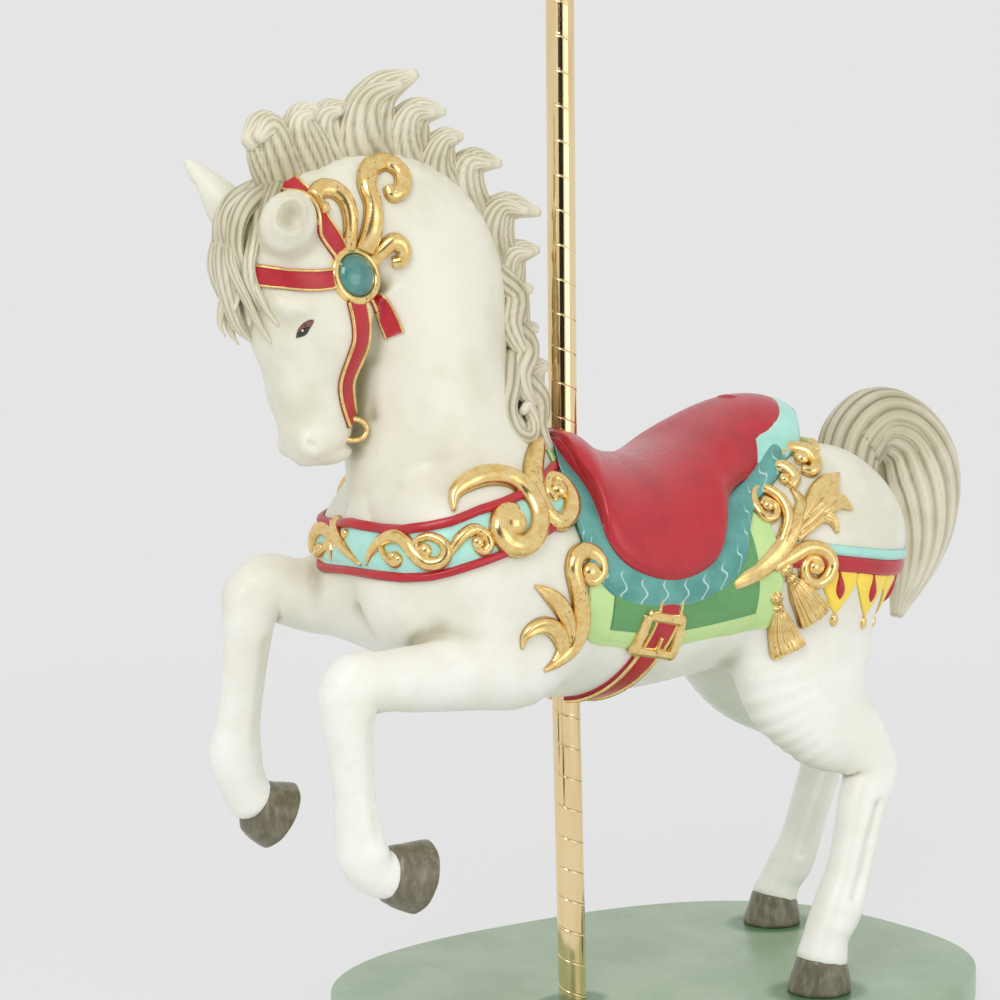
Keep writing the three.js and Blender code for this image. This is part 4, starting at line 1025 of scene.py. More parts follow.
TAIL = [
    [500, 0, 655, 34, 42], [505, 0, 735, 44, 52], [545, 0, 768, 48, 52], [600, 0, 755, 50, 60],
    [640, 0, 700, 50, 76], [648, 0, 635, 46, 68], [636, 0, 570, 36, 48], [602, 0, 480, 8, 9],
]


def carved_lock(stations, strands=9, depth=0.1, sides=72, steps=30, twist=0.6, seed=0):
    """A lock of carved hair: elliptical sections along its line, drawn in at the tip, their outline cut
    by V grooves between strands that wander and turn about the lock as they run to its tip."""
    rows = curve(stations, steps)
    along = unit(np.gradient(rows[:, :3], axis=0))
    across = unit(np.array([0, 1, 0]) - along * along[:, 1:2])
    deep = np.cross(along, across)
    t = np.linspace(0, 1, len(rows))[:, None]
    turn = all_round(sides)[None]
    luck = np.random.default_rng(seed)
    a, b, c = luck.uniform(0, 6.28, 3)
    sway = twist * t + 0.16 * np.sin(5 * t + a)
    comb = np.abs(np.sin((strands * (turn + sway) + 0.9 * np.sin(2 * turn + b)) / 2))
    fine = np.abs(np.sin((strands * 2.6 * (turn + sway) + c) / 2))
    cut = depth * (1 - comb) ** 1.6 + 0.35 * depth * (1 - fine) ** 2
    keep = 1 - cut * np.sin(np.pi * np.clip(t * 0.9 + 0.12, 0, 1)) ** 0.5
    wide, thick = rows[:, 4:5] * keep, rows[:, 3:4] * keep
    rings = rows[:, None, :3] + across[:, None] * (thick * np.cos(turn))[..., None]
    rings = rings + deep[:, None] * (wide * np.sin(turn))[..., None]
    # Dark tone in the grooves and near the root, where the lock meets the body: painted shade on the grey-brown
    # ground; low tone on the ridges gives their painted highlight.
    tone = np.clip((1 - keep) / (1.1 * depth), 0, 1) * 0.62 + 0.35 * (1 - t) ** 2
    return loft(rings, np.clip(tone, 0, 1), np.stack(np.broadcast_arrays(t * 100, turn / 6.2832), -1))


def tuft(stations, seed):
    """A lock and two slimmer ones beside it, one on each side, that part from it towards their tips."""
    rows = np.array(stations, float)
    parts = [carved_lock(rows, 17, 0.075, 80, 30, 0.35, seed)]
    for side in (NEAR, FAR):
        beside = rows.copy()
        spread = np.linspace(0.55, 1.0, len(rows)) * (rows[0, 3] * 0.75)
        beside[:, 1] += side * spread
        lag = rows[-1, :3] - rows[-2, :3]
        beside[:, [0, 2]] += np.linspace(0, -0.45, len(rows))[:, None] * lag[[0, 2]]
        beside[:, [0, 2]] += np.array([side * 6.0, -3.0])
        beside[:, 3] *= 0.62
        beside[:, 4] *= 0.7
        parts.append(carved_lock(beside, 11, 0.1, 56, 24, 0.4, seed + 40 + side))
    return stack(parts)


piece("mane", stack([tuft(rows, i) for i, rows in enumerate(LOCKS)]), hair, ["horse"])
beside_neck = [
    carved_lock(mirrored(rows, -side), 9, 0.1, 54, 36, 0.8, seed + i)
    for side, seed in ((NEAR, 200), (FAR, 220)) for i, rows in enumerate(SIDE_LOCKS)
]
piece("mane_side_locks", stack(beside_neck), hair, ["horse"])


def fallen(stations, strands, seed):
    """Wavy strands that fall beside each other: strands are [across, ahead, length share, size, wave]."""
    parts = []
    for k, (dy, dx, long, size, wave) in enumerate(strands):
        rows = curve(stations, 12)
        rows = rows[: max(int(len(rows) * long), 4)].copy()
        t = np.linspace(0, 1, len(rows))
        rows[:, 0] += dx * (0.3 + 0.7 * t) + wave * np.sin(7.5 * t + 1.7 * k)
        rows[:, 1] += dy * (0.5 + 0.5 * t) + 0.7 * wave * np.sin(6.5 * t + 2.3 * k)
        rows[:, 3:] *= size
        rows[-2:, 3:] *= [[0.7], [0.3]]
        parts.append(carved_lock(rows, 8, 0.12, 48, 34, 1.0, seed + k))
    return stack(parts)


FORELOCK_STRANDS = [
    (0, 0, 1.0, 0.75, 6), (-24, 4, 0.92, 0.6, 8), (24, 2, 1.0, 0.6, 8), (-40, 16, 0.78, 0.46, 9),
    (42, 12, 0.9, 0.46, 9), (-12, -6, 0.84, 0.44, 9), (12, -6, 0.95, 0.42, 9), (-50, 22, 0.9, 0.4, 8),
    (-34, 2, 1.0, 0.4, 9),
]
piece("forelock", fallen(FORELOCK, FORELOCK_STRANDS, 70), hair, ["horse"])


def tail():
    """The tail: one full lock with deep grooves, and combed strands over it that follow its arch."""
    parts = [carved_lock(TAIL, 16, 0.07, 144, 60, 0.5, 90)]
    strands = 11
    for i in range(strands):
        spread = i / (strands - 1) * 2 - 1
        rows = np.array(TAIL[1:], float)
        t = np.linspace(0, 1, len(rows))
        around = spread * 1.9
        out = rows[:, 4] * 0.72
        direction = unit(np.gradient(rows[:, :3], axis=0))
        deep = np.cross(direction, unit(np.array([0, 1, 0]) - direction * direction[:, 1:2]))
        rows[:, :3] += deep * (out * np.cos(around) * -1)[:, None]
        rows[:, 1] += rows[:, 3] * 0.78 * np.sin(around)
        rows[:, 3] = 11 - 5 * t
        rows[:, 4] = 15 - 8 * t
        rows[-1, 3:] = 3
        parts.append(carved_lock(rows, 5, 0.16, 40, 44, 0.5, 100 + i))
    return stack(parts)


piece("tail", tail(), hair, ["horse"])


# ---------- saddle and cloths ----------
def layer(columns, steps, rows, thick, lip, deep=None, crown=0.85):
    """A cloth or seat over the back. Each column [edge x, y, z, top x, top z, free] runs from its top on
    the middle plane down both sides to its edge: y goes as the sine of the way down and z as its cosine.
    Where free is 0 it lies thick above the skin, where free is 1 it keeps that shape but never comes
    nearer. Its rim is rounded over lip, and its underside is let into the casting."""
    k = curve(columns, steps)[:, None]
    hem = np.linspace(0.9, 1, 7)[1:]  # the last tenth of each side has rows of its own for the rim
    share = np.concatenate([-hem[::-1], np.linspace(-0.9, 0.9, rows), hem])
    way = share * np.pi / 2
    down, up = np.sin(np.abs(way)), np.maximum(np.cos(way), 0) ** crown
    shape = np.stack([k[..., 3] + (k[..., 0] - k[..., 3]) * down**1.6, -np.sign(share) * k[..., 1] * down,
                      k[..., 2] + (k[..., 4] - k[..., 2]) * up], -1)
    flat = shape.reshape(-1, 3)
    lain = flat.copy()
    for _ in range(4):
        lain += slope(bare, lain) * np.clip(thick - bare(lain), -14, 14)[:, None]
    free = np.clip(np.broadcast_to(k[..., 5], shape.shape[:2]), 0, 1).ravel()[:, None]
    outer = lifted((lain + (flat - lain) * free).reshape(shape.shape), thick * 0.9)
    edge = np.clip((np.abs(share) - 0.955) / 0.045, 0, 1)
    ends = np.minimum(np.arange(len(k)), np.arange(len(k))[::-1]) / (0.02 * len(k))
    round_off = np.maximum(edge[None, :], np.clip(1 - ends, 0, 1)[:, None])
    out = slope(bare, outer.reshape(-1, 3)).reshape(outer.shape)
    outer = outer - out * (lip * (1 - np.sqrt(1 - round_off**2 * 0.999)))[..., None]
    if deep is None:  # the underside lies 6 mm inside the skin
        deep = bare(outer.reshape(-1, 3)).reshape(shape.shape[:2]) + 6
    inner = outer - out * np.broadcast_to(deep, shape.shape[:2])[..., None]
    rim = np.linalg.norm(outer - np.where(share[None, :, None] < 0, outer[:, :1], outer[:, -1:]), axis=2)
    run = np.concatenate([[0], np.cumsum(np.linalg.norm(np.diff(k[:, 0, :3], axis=0), axis=1))])
    run = np.broadcast_to(run[:, None], rim.shape)
    # The dark tone rises where the rim rounds over: painted shade on the turned edge.
    return slab(outer, inner, np.broadcast_to(round_off * 0.8, rim.shape), np.stack([run, rim], -1))


# Each column: its edge x, y, z, then x and z of its top, then how free it stands off the back.
SEAT = [
    [-57, 24, 766, -46, 768, 1], [-67, 72, 754, -38, 768, 1], [-72, 98, 735, -30, 766, 1],
    [-70, 126, 705, -18, 762, 1], [-71, 149, 674, -8, 755, 1], [-68, 169, 631, 2, 748, 1],
    [-47, 176, 603, 14, 743, 1], [-6, 178, 583, 30, 738, 1], [34, 179, 577, 50, 736, 1],
    [76, 178, 585, 78, 735, 1], [108, 175, 605, 105, 738, 1], [127, 164, 636, 135, 745, 1],
    [150, 140, 673, 170, 759, 1], [178, 126, 697, 205, 780, 1], [220, 116, 710, 240, 799, 1],
    [262, 113, 722, 268, 809, 1], [294, 102, 741, 294, 813, 1], [316, 76, 768, 315, 812, 1],
    [334, 24, 799, 334, 806, 1],
]
LINING = [
    [218, 118, 707, 240, 795, 1], [270, 118, 717, 268, 806, 1], [303, 107, 738, 299, 811, 1],
    [326, 81, 767, 324, 810, 1], [345, 27, 798, 344, 804, 1],
]
BORDER = [
    [-60, 34, 758, -58, 760, 0.6], [-98, 114, 717, -56, 757, 0], [-107, 144, 675, -48, 752, 0],
    [-106, 159, 645, -36, 746, 0], [-98, 168, 608, -22, 740, 0], [-85, 171, 582, -10, 735, 0],
    [-64, 171, 562, 2, 731, 0], [-31, 170, 547, 18, 728, 0], [9, 170, 541, 36, 725, 0],
    [58, 171, 540, 60, 723, 0], [98, 173, 551, 88, 724, 0], [131, 174, 569, 112, 728, 0],
    [155, 172, 596, 134, 734, 0], [171, 161, 634, 160, 744, 0], [197, 144, 675, 190, 760, 0.1],
    [222, 140, 692, 220, 778, 0.4], [262, 122, 708, 256, 794, 0.9], [300, 95, 722, 290, 798, 1],
    [327, 80, 744, 320, 799, 1], [344, 62, 767, 340, 799, 1], [358, 38, 788, 356, 798, 1],
    [367, 10, 795, 366, 796, 1],
]
BLANKET = [
    [-98, 158, 560, -104, 735, 0], [-88, 148, 506, -90, 733, 0], [-39, 140, 494, -40, 726, 0],
    [3, 138, 489, 0, 720, 0], [51, 139, 488, 50, 714, 0], [99, 142, 494, 100, 712, 0],
    [167, 143, 499, 150, 714, 0], [217, 157, 507, 182, 718, 0], [208, 165, 552, 188, 719, 0],
]
PANEL = [
    [-60, 152, 519, -62, 725, 0], [-8, 151, 512, -8, 720, 0], [41, 151, 510, 40, 714, 0],
    [90, 153, 514, 90, 712, 0], [139, 155, 520, 136, 713, 0], [178, 158, 525, 160, 714, 0],
]

piece("saddle_seat", layer(SEAT, 110, 64, 12, 7, 9.0), red, ["horse"])
piece("cantle_lining", layer(LINING, 40, 50, 10, 5, 8.0), aqua, ["horse"])
piece("saddle_border", layer(BORDER, 120, 60, 10, 5), teal, ["horse"])
piece("blanket", layer(BLANKET, 80, 50, 5, 3), light_green, ["horse"])
piece("blanket_panel", layer(PANEL, 64, 50, 6.6, 1), dark_green, ["horse"])


# ---------- breast band and crupper ----------
BAND_X = -150  # upright line that the breast band is measured about
# Heights of the band's edges against the turn from straight ahead.
BAND_TOP = [[0, 660], [15, 655], [27, 655], [37, 660], [45, 666], [55, 679], [72, 692], [100, 714],
            [118, 724], [146, 735]]
BAND_FOOT = [[0, 590], [18, 588], [29, 587], [39, 590], [45, 595], [63, 614], [82, 634], [112, 662], [146, 690]]
BAND_EDGE = 12  # width of each red edge
HAUNCH_X = 300  # upright line that the crupper is measured about
CRUPPER_TOP = [[50, 622], [76, 617], [98, 608], [121, 599], [150, 594], [180, 592]]


def height_at(table, turn):
    """A height read off a table of [turn, height], the same on both sides."""
    table = np.array(table, float)
    return np.interp(np.abs(turn), table[:, 0], table[:, 1])


def hoop(axis_x, turns, low, high, thick, across=9, edge=4.0, sink=4.0, field=bare):
    """A band round the casting between two heights at each turn, with rounded edges."""
    v = np.linspace(-1, 1, across)
    z = low[:, None] + (high - low)[:, None] * (v + 1) / 2
    base = round_upright(axis_x, turns[:, None] + 0 * z, z, field)
    out = slope(field, base.reshape(-1, 3)).reshape(base.shape)
    rise = thick * (1 - np.abs(v) ** edge * 0.75)
    ends = np.clip(np.minimum(np.arange(len(turns)), np.arange(len(turns))[::-1]) / 2, 0, 1)[:, None]
    outer = base + out * (rise * (0.2 + 0.8 * ends))[..., None]
    # Darker towards both edges of the band, where it turns down to the skin: painted shade.
    tone = np.broadcast_to(np.abs(v) ** 4 * 0.7, z.shape)
    return slab(outer, base - out * sink, tone)


turns = np.linspace(-140, 140, 140)
top = height_at(BAND_TOP, turns)
foot = height_at(BAND_FOOT, turns) + 16 * ramp(-turns, 18, 34)  # the raised far leg pushes its foot up
edges = [
    hoop(BAND_X, turns, top - BAND_EDGE, top, 8.0, field=chest),
    hoop(BAND_X, turns, foot, foot + BAND_EDGE - 1, 8.0, field=chest),
]
middle_strip = hoop(BAND_X, turns, foot + BAND_EDGE - 2, top - BAND_EDGE + 1, 4.5, field=chest)

crupper_red, crupper_aqua, pennants, drops, beads = [], [], [], [], []
PENNANT_FROM, PENNANT_WIDE, PENNANTS = 82, 21, 4  # first pennant's front edge and their width, in degrees
PENNANT_CUSP, PENNANT_TIP = 14, 60  # how far they hang under the band, beside and at their points
for side in (NEAR, FAR):
    sweep = np.linspace(62, 172, 90)
    ct = height_at(CRUPPER_TOP, sweep)
    crupper_aqua.append(hoop(HAUNCH_X, -side * sweep, ct - 14, ct, 5.0))
    crupper_red.append(hoop(HAUNCH_X, -side * sweep, ct - 36, ct - 14, 6.5))
    for i in range(PENNANTS):
        middle = PENNANT_FROM + PENNANT_WIDE * (i + 0.5)
        u = np.linspace(-1, 1, 25)
        at = middle + u * PENNANT_WIDE / 2
        low = height_at(CRUPPER_TOP, at) - 33
        hang = PENNANT_CUSP + (PENNANT_TIP - PENNANT_CUSP) * (1 - np.abs(u) ** 1.35)
        pennants.append(hoop(HAUNCH_X, -side * at, low - hang, low, 4.0, 15, 6.0))
        belt = height_at(CRUPPER_TOP, middle) - 35
        t = np.linspace(0, 1, 14)
        line = round_upright(HAUNCH_X, -side * (middle - 0.6 + 1.5 * t), belt + 2 - 40 * t)
        swell = np.sin(np.pi * t**1.6)
        drops.append(relief(line, 1.2 + 6.8 * swell**0.8, 4.5 + 4.5 * swell))
        tip = round_upright(HAUNCH_X, [-side * middle], [belt - PENNANT_TIP - 7])
        beads.append(knob(tip[0], (7.0, 9.5, 5.0), slope(bare, tip)[0]))

piece("band_edges", stack(edges + crupper_red), red, ["horse"])
piece("band_field", stack([middle_strip] + crupper_aqua), aqua, ["horse"])
piece("pennants", stack(pennants), yellow, ["horse"])
piece("pennant_drops", stack(drops), red, ["horse"])


# ---------- gilded scrollwork: [x, z, half width, height] in the side view ----------
SCROLLS = {
    "great_curl": (ROUND, [[-282, 672, 2, 5], [-274, 692, 7, 10], [-248, 707, 11, 14], [-218, 712, 12, 15],
                           [-189, 706, 12, 15], [-172, 688, 12, 15], [-168, 662, 12, 15], [-180, 640, 12, 15],
                           [-201, 629, 12, 15], [-222, 633, 13, 15], [-232, 650, 13, 15], [-220, 668, 11, 14],
                           [-204, 670, 8, 12]]),
    "small_curl": (ROUND, [[-104, 752, 8, 8], [-128, 737, 11, 12], [-148, 712, 12, 14], [-158, 684, 11, 14],
                           [-152, 662, 10, 14], [-134, 653, 10, 14], [-113, 662, 11, 14], [-101, 682, 11, 13],
                           [-105, 702, 9, 11], [-122, 706, 7, 9], [-134, 692, 7, 9], [-128, 678, 6, 8]]),
    "fore_stem": (ROUND, [[-161, 473, 2, 3], [-137, 483, 7, 7], [-116, 498, 10, 10], [-106, 522, 11, 12],
                          [-110, 552, 11, 12], [-119, 577, 10, 12], [-124, 598, 10, 12], [-117, 612, 10, 12],
                          [-99, 618, 10, 12], [-82, 606, 9, 12], [-82, 589, 8, 11], [-96, 581, 7, 10],
                          [-106, 589, 6, 9]]),
    "fore_leaf_up": (LEAF, [[-184, 580, 1.5, 3], [-165, 570, 7, 8], [-145, 556, 10, 10], [-128, 534, 9, 10],
                            [-118, 506, 5, 7]]),
    "fore_leaf_down": (LEAF, [[-196, 502, 1.5, 3], [-190, 519, 6, 7], [-174, 529, 9, 9], [-153, 527, 10, 10],
                              [-137, 513, 10, 10], [-132, 496, 8, 8], [-146, 480, 4, 5]]),
    "rear_stem": (REED, [[134, 563, 7, 7], [150, 570, 10, 10], [177, 580, 11, 11], [206, 599, 12, 12],
                         [229, 622, 12, 12], [246, 645, 9, 11], [258, 667, 7, 9], [253, 686, 3, 4]]),
    "rear_curl_up": (ROUND, [[206, 598, 6, 8], [221, 622, 7, 10], [234, 650, 7, 11], [231, 673, 7, 11],
                             [219, 683, 7, 11], [203, 676, 7, 11], [196, 660, 7, 11], [203, 646, 6, 10],
                             [217, 649, 5, 9], [222, 661, 5, 8], [213, 670, 4, 8], [205, 663, 4, 7]]),
    "rear_lobe_high": (LEAF, [[247, 635, 6, 9], [266, 652, 12, 12], [288, 672, 18, 13], [308, 690, 14, 11],
                              [330, 704, 2, 4]]),
    "rear_lobe_side": (LEAF, [[264, 648, 6, 9], [290, 661, 11, 12], [316, 667, 10, 11], [336, 656, 2, 4]]),
    "rear_lobe_low": (LEAF, [[239, 622, 7, 9], [264, 639, 9, 10], [284, 649, 9, 10], [298, 643, 7, 9],
                             [305, 626, 2, 4]]),
    "rear_curl_down": (ROUND, [[202, 583, 6, 8], [230, 597, 9, 11], [256, 608, 9, 12], [280, 603, 9, 12],
                               [291, 587, 8, 12], [285, 570, 8, 12], [270, 561, 7, 11], [253, 567, 7, 11],
                               [247, 582, 6, 10], [255, 594, 5, 9], [268, 593, 5, 9], [274, 582, 4, 8],
                               [266, 575, 4, 8]]),
    "cantle_leaf_high": (LEAF, [[338, 772, 5, 8], [334, 757, 9, 10], [325, 745, 8, 9], [316, 734, 3, 5]]),
    "cantle_leaf_middle": (ROUND, [[264, 723, 6, 10], [283, 733, 9, 13], [298, 729, 10, 14], [298, 715, 8, 12],
                                   [287, 706, 7, 11], [276, 709, 5, 9]]),
    "cantle_leaf_low": (ROUND, [[224, 690, 4, 8], [240, 706, 8, 12], [256, 710, 9, 13], [260, 697, 8, 12],
                                [250, 686, 6, 10]]),
}
FAR_SCROLLS = ("great_curl", "small_curl", "fore_stem", "rear_stem", "rear_curl_down")  # the plainer side
# Bosses that the curls close on: [x, z, radius, height].
BOSSES = [[-212, 657, 19, 19], [-118, 690, 13, 17], [-98, 592, 13, 15], [213, 663, 9, 12], [264, 582, 10, 12],
          [284, 722, 11, 15], [248, 696, 8, 12]]
FULLER = 1.18  # how much fuller the carving is than its drawn line


def boss(field, spot, radius, height, around, high):
    """A round boss that stands so high off a field at a spot on it."""
    facing = slope(field, spot[:1])[0]
    radii = (radius, radius, radius * 0.8)
    return knob(spot[0] + facing * (height - radii[2]), radii, facing, around, high)


def swept(side, form, knots):
    """One of the drawn strokes, made fuller."""
    knots = np.array(knots, float)
    return stroke(side, knots * [1, 1, FULLER, FULLER], form, sides=24)


gilding = [swept(NEAR, form, knots) for form, knots in SCROLLS.values()]
gilding += [swept(FAR, *SCROLLS[name]) for name in FAR_SCROLLS]
for side, rows in ((NEAR, BOSSES), (FAR, BOSSES[:3] + BOSSES[4:5])):
    for x, z, radius, height in rows:
        spot, _ = on_side(side, [[x, z, 0], [x + 1, z, 0]], 1)
        gilding.append(boss(bare, spot, radius, height, 32, 18))

# Curls of the breast band: [turn, z, half width, height].
BAND_SCROLLS = [
    [[-16, 656, 5, 8], [-10, 643, 7, 11], [-1, 624, 7, 11], [9, 604, 2, 5]],
    [[-19, 652, 4, 8], [-16, 640, 6, 9], [-9, 622, 3, 5]],
    [[12, 604, 2, 4], [14, 620, 7, 10], [18, 634, 9, 12], [26, 641, 9, 12], [31, 634, 9, 12], [34, 622, 9, 12],
     [38, 611, 9, 12], [42, 613, 9, 12], [44, 625, 8, 12], [42, 637, 7, 11], [38, 642, 6, 10],
     [34.5, 637, 5, 10], [34.5, 628, 4, 9], [37.5, 623, 4, 8]],
    [[18, 626, 5, 9], [22, 614, 6, 10], [26, 609, 7, 11], [28, 615, 6, 10], [26, 621, 4, 8]],
    [[44, 612, 2, 4], [46, 628, 6, 9], [49, 643, 8, 11], [53, 650, 8, 11], [57, 642, 7, 11], [58, 630, 7, 11],
     [56, 624, 6, 10], [53.5, 629, 4, 9], [54.5, 636, 4, 8]],
]
for side in (NEAR, FAR):
    for knots in BAND_SCROLLS:
        rows = np.array(knots, float)
        if side == FAR and rows[0, 0] < 0:
            continue
        line = curve(np.column_stack([rows[:, 0] * 2, 0 * rows[:, 0], rows[:, 1], rows[:, 2:]]), 8 * len(rows))
        spine = round_upright(BAND_X, -side * line[:, 0] / 2, line[:, 2], chest)
        gilding.append(relief(spine, line[:, 3], line[:, 4] * 1.15, sides=24, field=chest))


# Bosses of the breast band: [turn, z, radius, height].
BAND_BOSSES = [[37, 626, 9, 13], [54, 635, 8, 12], [25, 617, 6, 11], [-1, 640, 6, 10]]
for side in (NEAR, FAR):
    for turn, z, radius, height in BAND_BOSSES[: 4 if side == NEAR else 3]:
        gilding.append(boss(chest, round_upright(BAND_X, [-side * turn], [z], chest), radius, height, 24, 14))


# Tassels: share of the way down, half width and height of a knob, a collar, a neck and a skirt.
TASSEL = np.array([[0, 3, 4], [0.05, 8, 12], [0.1, 10.5, 16], [0.16, 8, 12], [0.2, 5, 9], [0.24, 9, 14],
                   [0.28, 7, 10], [0.33, 10, 14], [0.5, 17, 19], [0.75, 22, 21], [0.95, 26, 20], [1.0, 23, 7]])


def tassel(side, top, hem):
    """A tassel laid on the side: a knob, a collar, and a skirt of ribs that spreads to a cut hem."""
    way = TASSEL[:, :1] * (np.array(hem, float) - top) + top
    spine, size = on_side(side, np.hstack([way, TASSEL[:, 1:]]), 48)
    return relief(spine, size[:, 0], size[:, 1], FRINGE, sides=72)


for side in (NEAR, FAR):
    gilding.append(tassel(side, (214, 588), (276, 512)))
    gilding.append(tassel(side, (205, 553), (243, 466)))
piece("gilded_scrollwork", stack(gilding), gold, ["horse"])
piece("pennant_beads", stack(beads), gold, ["horse"])


# ---------- straps ----------
def strap(spine, half, thick, trim=2.0):
    """A flat strap along a spine on the skin, and a gilded cord along each of its edges."""
    n = len(spine)
    base = settle(bare, spine, 3)
    normal = slope(bare, base)
    across = unit(np.cross(normal, unit(np.gradient(base, axis=0))))
    v = np.linspace(-1, 1, 9)
    flat = settle(bare, (base[:, None] + across[:, None] * (half * v)[:, None]).reshape(-1, 3), 2)
    out = slope(bare, flat).reshape(n, 9, 3)
    flat = flat.reshape(n, 9, 3)
    top = flat + out * (thick * (1 - 0.25 * v**2))[:, None]
    # Darker towards both edges of the strap: painted shade where it meets the skin.
    band = slab(top, flat - out * 4, np.broadcast_to(v**4 * 0.6, (n, 9)))
    cords = [relief(base + across * (half - trim) * way, trim, thick + 2.0, sides=12) for way in (-1, 1)]
    return band, cords


def through(knots, steps):
    """A smooth line through [x, y, z] knots near the skin, settled on it."""
    return settle(bare, curve(knots, steps), 5)


# Straps of the near side: [x, y, z] knots, and half their width.
BRIDLE = [
    ([[-378, -60, 968], [-395, -57, 985], [-410, -58, 1003], [-423, -56, 1020], [-442, -38, 1054],
      [-452, -12, 1076], [-455, 0, 1080]], 14),  # over the poll
    ([[-396, -64, 952], [-410, -63, 949], [-431, -65, 947], [-450, -62, 947], [-466, -55, 948],
      [-482, -42, 951], [-494, -20, 955], [-498, 0, 956]], 13),  # across the brow
    ([[-374, -66, 925], [-368, -64, 899], [-366, -60, 878], [-370, -56, 855], [-372, -50, 835],
      [-368, -44, 812], [-360, -38, 792], [-354, -34, 780]], 15),  # down the cheek
]
GIRTH = [[30, -164, 580], [30, -158, 535], [16, -138, 484], [4, -96, 442], [-4, -50, 422], [-6, 0, 414]]
LOOSE_END = [[-352, -57, 945], [-338, -50, 930], [-329, -52, 915], [-321, -55, 898], [-316, -57, 884]]

straps, trims = [], []
for side in (NEAR, FAR):
    for knots, half in BRIDLE:
        band, cords = strap(through(mirrored(knots, -side), 44), half, 4.0)
        straps.append(band)
        trims += cords
    band, cords = strap(through(mirrored(GIRTH, -side), 60), 20, 7.5, 2.6)
    straps.append(band)
    trims += cords
band, cords = strap(through(LOOSE_END, 24), 13, 4.0)
straps.append(band)
trims += cords
piece("straps", stack(straps), red, ["horse"])

# Buckles: bars through the middle of each side of a leaning square, and a pin across the window.
BUCKLE = [[-5, 534], [50, 524], [52, 480], [-14, 491]]
for side in (NEAR, FAR):
    loop = np.array(BUCKLE + BUCKLE[:1], float)
    run = np.linspace(0, 4, 97)
    x, z = (np.interp(run, np.arange(5), loop[:, k]) for k in (0, 1))
    corner = 1 + 0.35 * np.clip(1 - np.abs(run - np.round(run)) / 0.08, 0, 1)
    spine, _ = on_side(side, np.column_stack([x, z, 0 * x]), 144)
    corner = np.interp(np.linspace(0, 1, len(spine)), run / 4, corner)
    trims.append(relief(spine, 8.0 * corner, 14.0, sides=24))
    pin, _ = on_side(side, [[20, 488, 0], [22, 506, 0]], 8)
    trims.append(relief(pin, 2.5, 14.0, sides=12))


def turned(centre, normal, profile, around=72):
    """A turned piece: [radius, height] rings about an axis along normal, closed at both ends."""
    profile = np.array(profile, float)
    x, y, z = axes_of(normal)
    turn = all_round(around)
    rings = centre + z * profile[:, 1, None, None] + profile[:, 0, None, None] * (
        x * np.cos(turn)[:, None] + y * np.sin(turn)[:, None])
    return loft(rings, 0.0)


def ring_of(centre, normal, half_x, half_z, bar, around=60, sides=14):
    """An oval ring of round bar, flat to normal."""
    x, y, z = axes_of(normal)
    turn = np.linspace(0, 2 * np.pi, around + 1)
    line = centre + x * (half_x * np.cos(turn))[:, None] + y * (half_z * np.sin(turn))[:, None]
    out = unit(x * (np.cos(turn) / half_x)[:, None] + y * (np.sin(turn) / half_z)[:, None])
    spin = all_round(sides)
    rings = line[:, None] + bar * (out[:, None] * np.cos(spin)[:, None] + z * np.sin(spin)[:, None])
    return loft(rings, 0.2)


RIM = [[4, -10], [36, -10], [36.5, 1], [35.5, 5], [33, 7.5], [29.5, 8], [27, 6.5], [26, 4], [24, 2], [2, 2]]
GEM = [[4, 0], [26, 0.5], [26, 3.5], [24.5, 7], [21, 10], [16, 12.8], [10, 14.6], [5, 15.4], [1, 15.6]]
PLUMES = [
    [[-379, -56, 985, 9, 9], [-380, -60, 1009, 9, 11], [-381, -60, 1028, 10, 12], [-386, -57, 1045, 11, 13],
     [-398, -51, 1056, 12, 13], [-413, -49, 1056, 12, 13], [-423, -50, 1046, 11, 13], [-420, -55, 1034, 9, 12],
     [-410, -58, 1033, 7, 10]],
    [[-357, -56, 985, 14, 11], [-351, -63, 1012, 14, 13], [-350, -62, 1039, 12, 13], [-354, -54, 1063, 12, 13],
     [-341, -42, 1084, 13, 13], [-318, -40, 1092, 13, 13], [-303, -50, 1080, 12, 13], [-308, -60, 1060, 11, 13],
     [-323, -62, 1052, 9, 11], [-327, -58, 1062, 7, 9]],
    [[-345, -53, 970, 9, 9], [-334, -58, 986, 10, 11], [-321, -63, 997, 11, 12], [-309, -65, 990, 10, 12],
     [-309, -62, 975, 9, 11], [-320, -58, 972, 7, 9]],
]
stones = []
for side in (NEAR, FAR):
    seat = settle(bare, np.array([[-372.0, 58.0 * side, 955]]), 5)
    facing = unit(slope(bare, seat)[0] + np.array([-0.1, 1.2 * side, 0]))
    trims.append(turned(seat[0] + facing * 2, facing, RIM))
    stones.append(turned(seat[0] + facing * 2, facing, GEM))
    ring_at = settle(bare, np.array([[-350.0, 33.0 * side, 766]]), 5)[0]
    trims.append(ring_of(ring_at + np.array([-6.0, 12.0 * side, 0]), (-0.25, side, 0), 17, 13, 3.4))
    for knots in PLUMES if side == NEAR else PLUMES[1:2]:
        line = curve(mirrored(knots, -side), 8 * len(knots))
        trims.append(relief(settle(bare, line[:, :3], 5), line[:, 3], line[:, 4]))
piece("bridle_gilding", stack(trims), gold, ["horse"])
piece("rosette_stones", stack(stones), stone, ["horse"])


# ---------- eyes ----------
def almond(side, corners, tall, rise, bow):
    """A flat almond on the skin between two corners: its width goes as a sine along it, and its line bows
    upwards."""
    t = np.linspace(0, 1, 22)
    a, b = (np.array(c, float) * [1, -side, 1] for c in corners)
    line = a + (b - a) * t[:, None] + np.array([0, 0, bow]) * np.sin(np.pi * t)[:, None]
    return relief(settle(bare, line, 5), 0.6 + tall * np.sin(np.pi * t) ** 0.8, rise, sides=24)


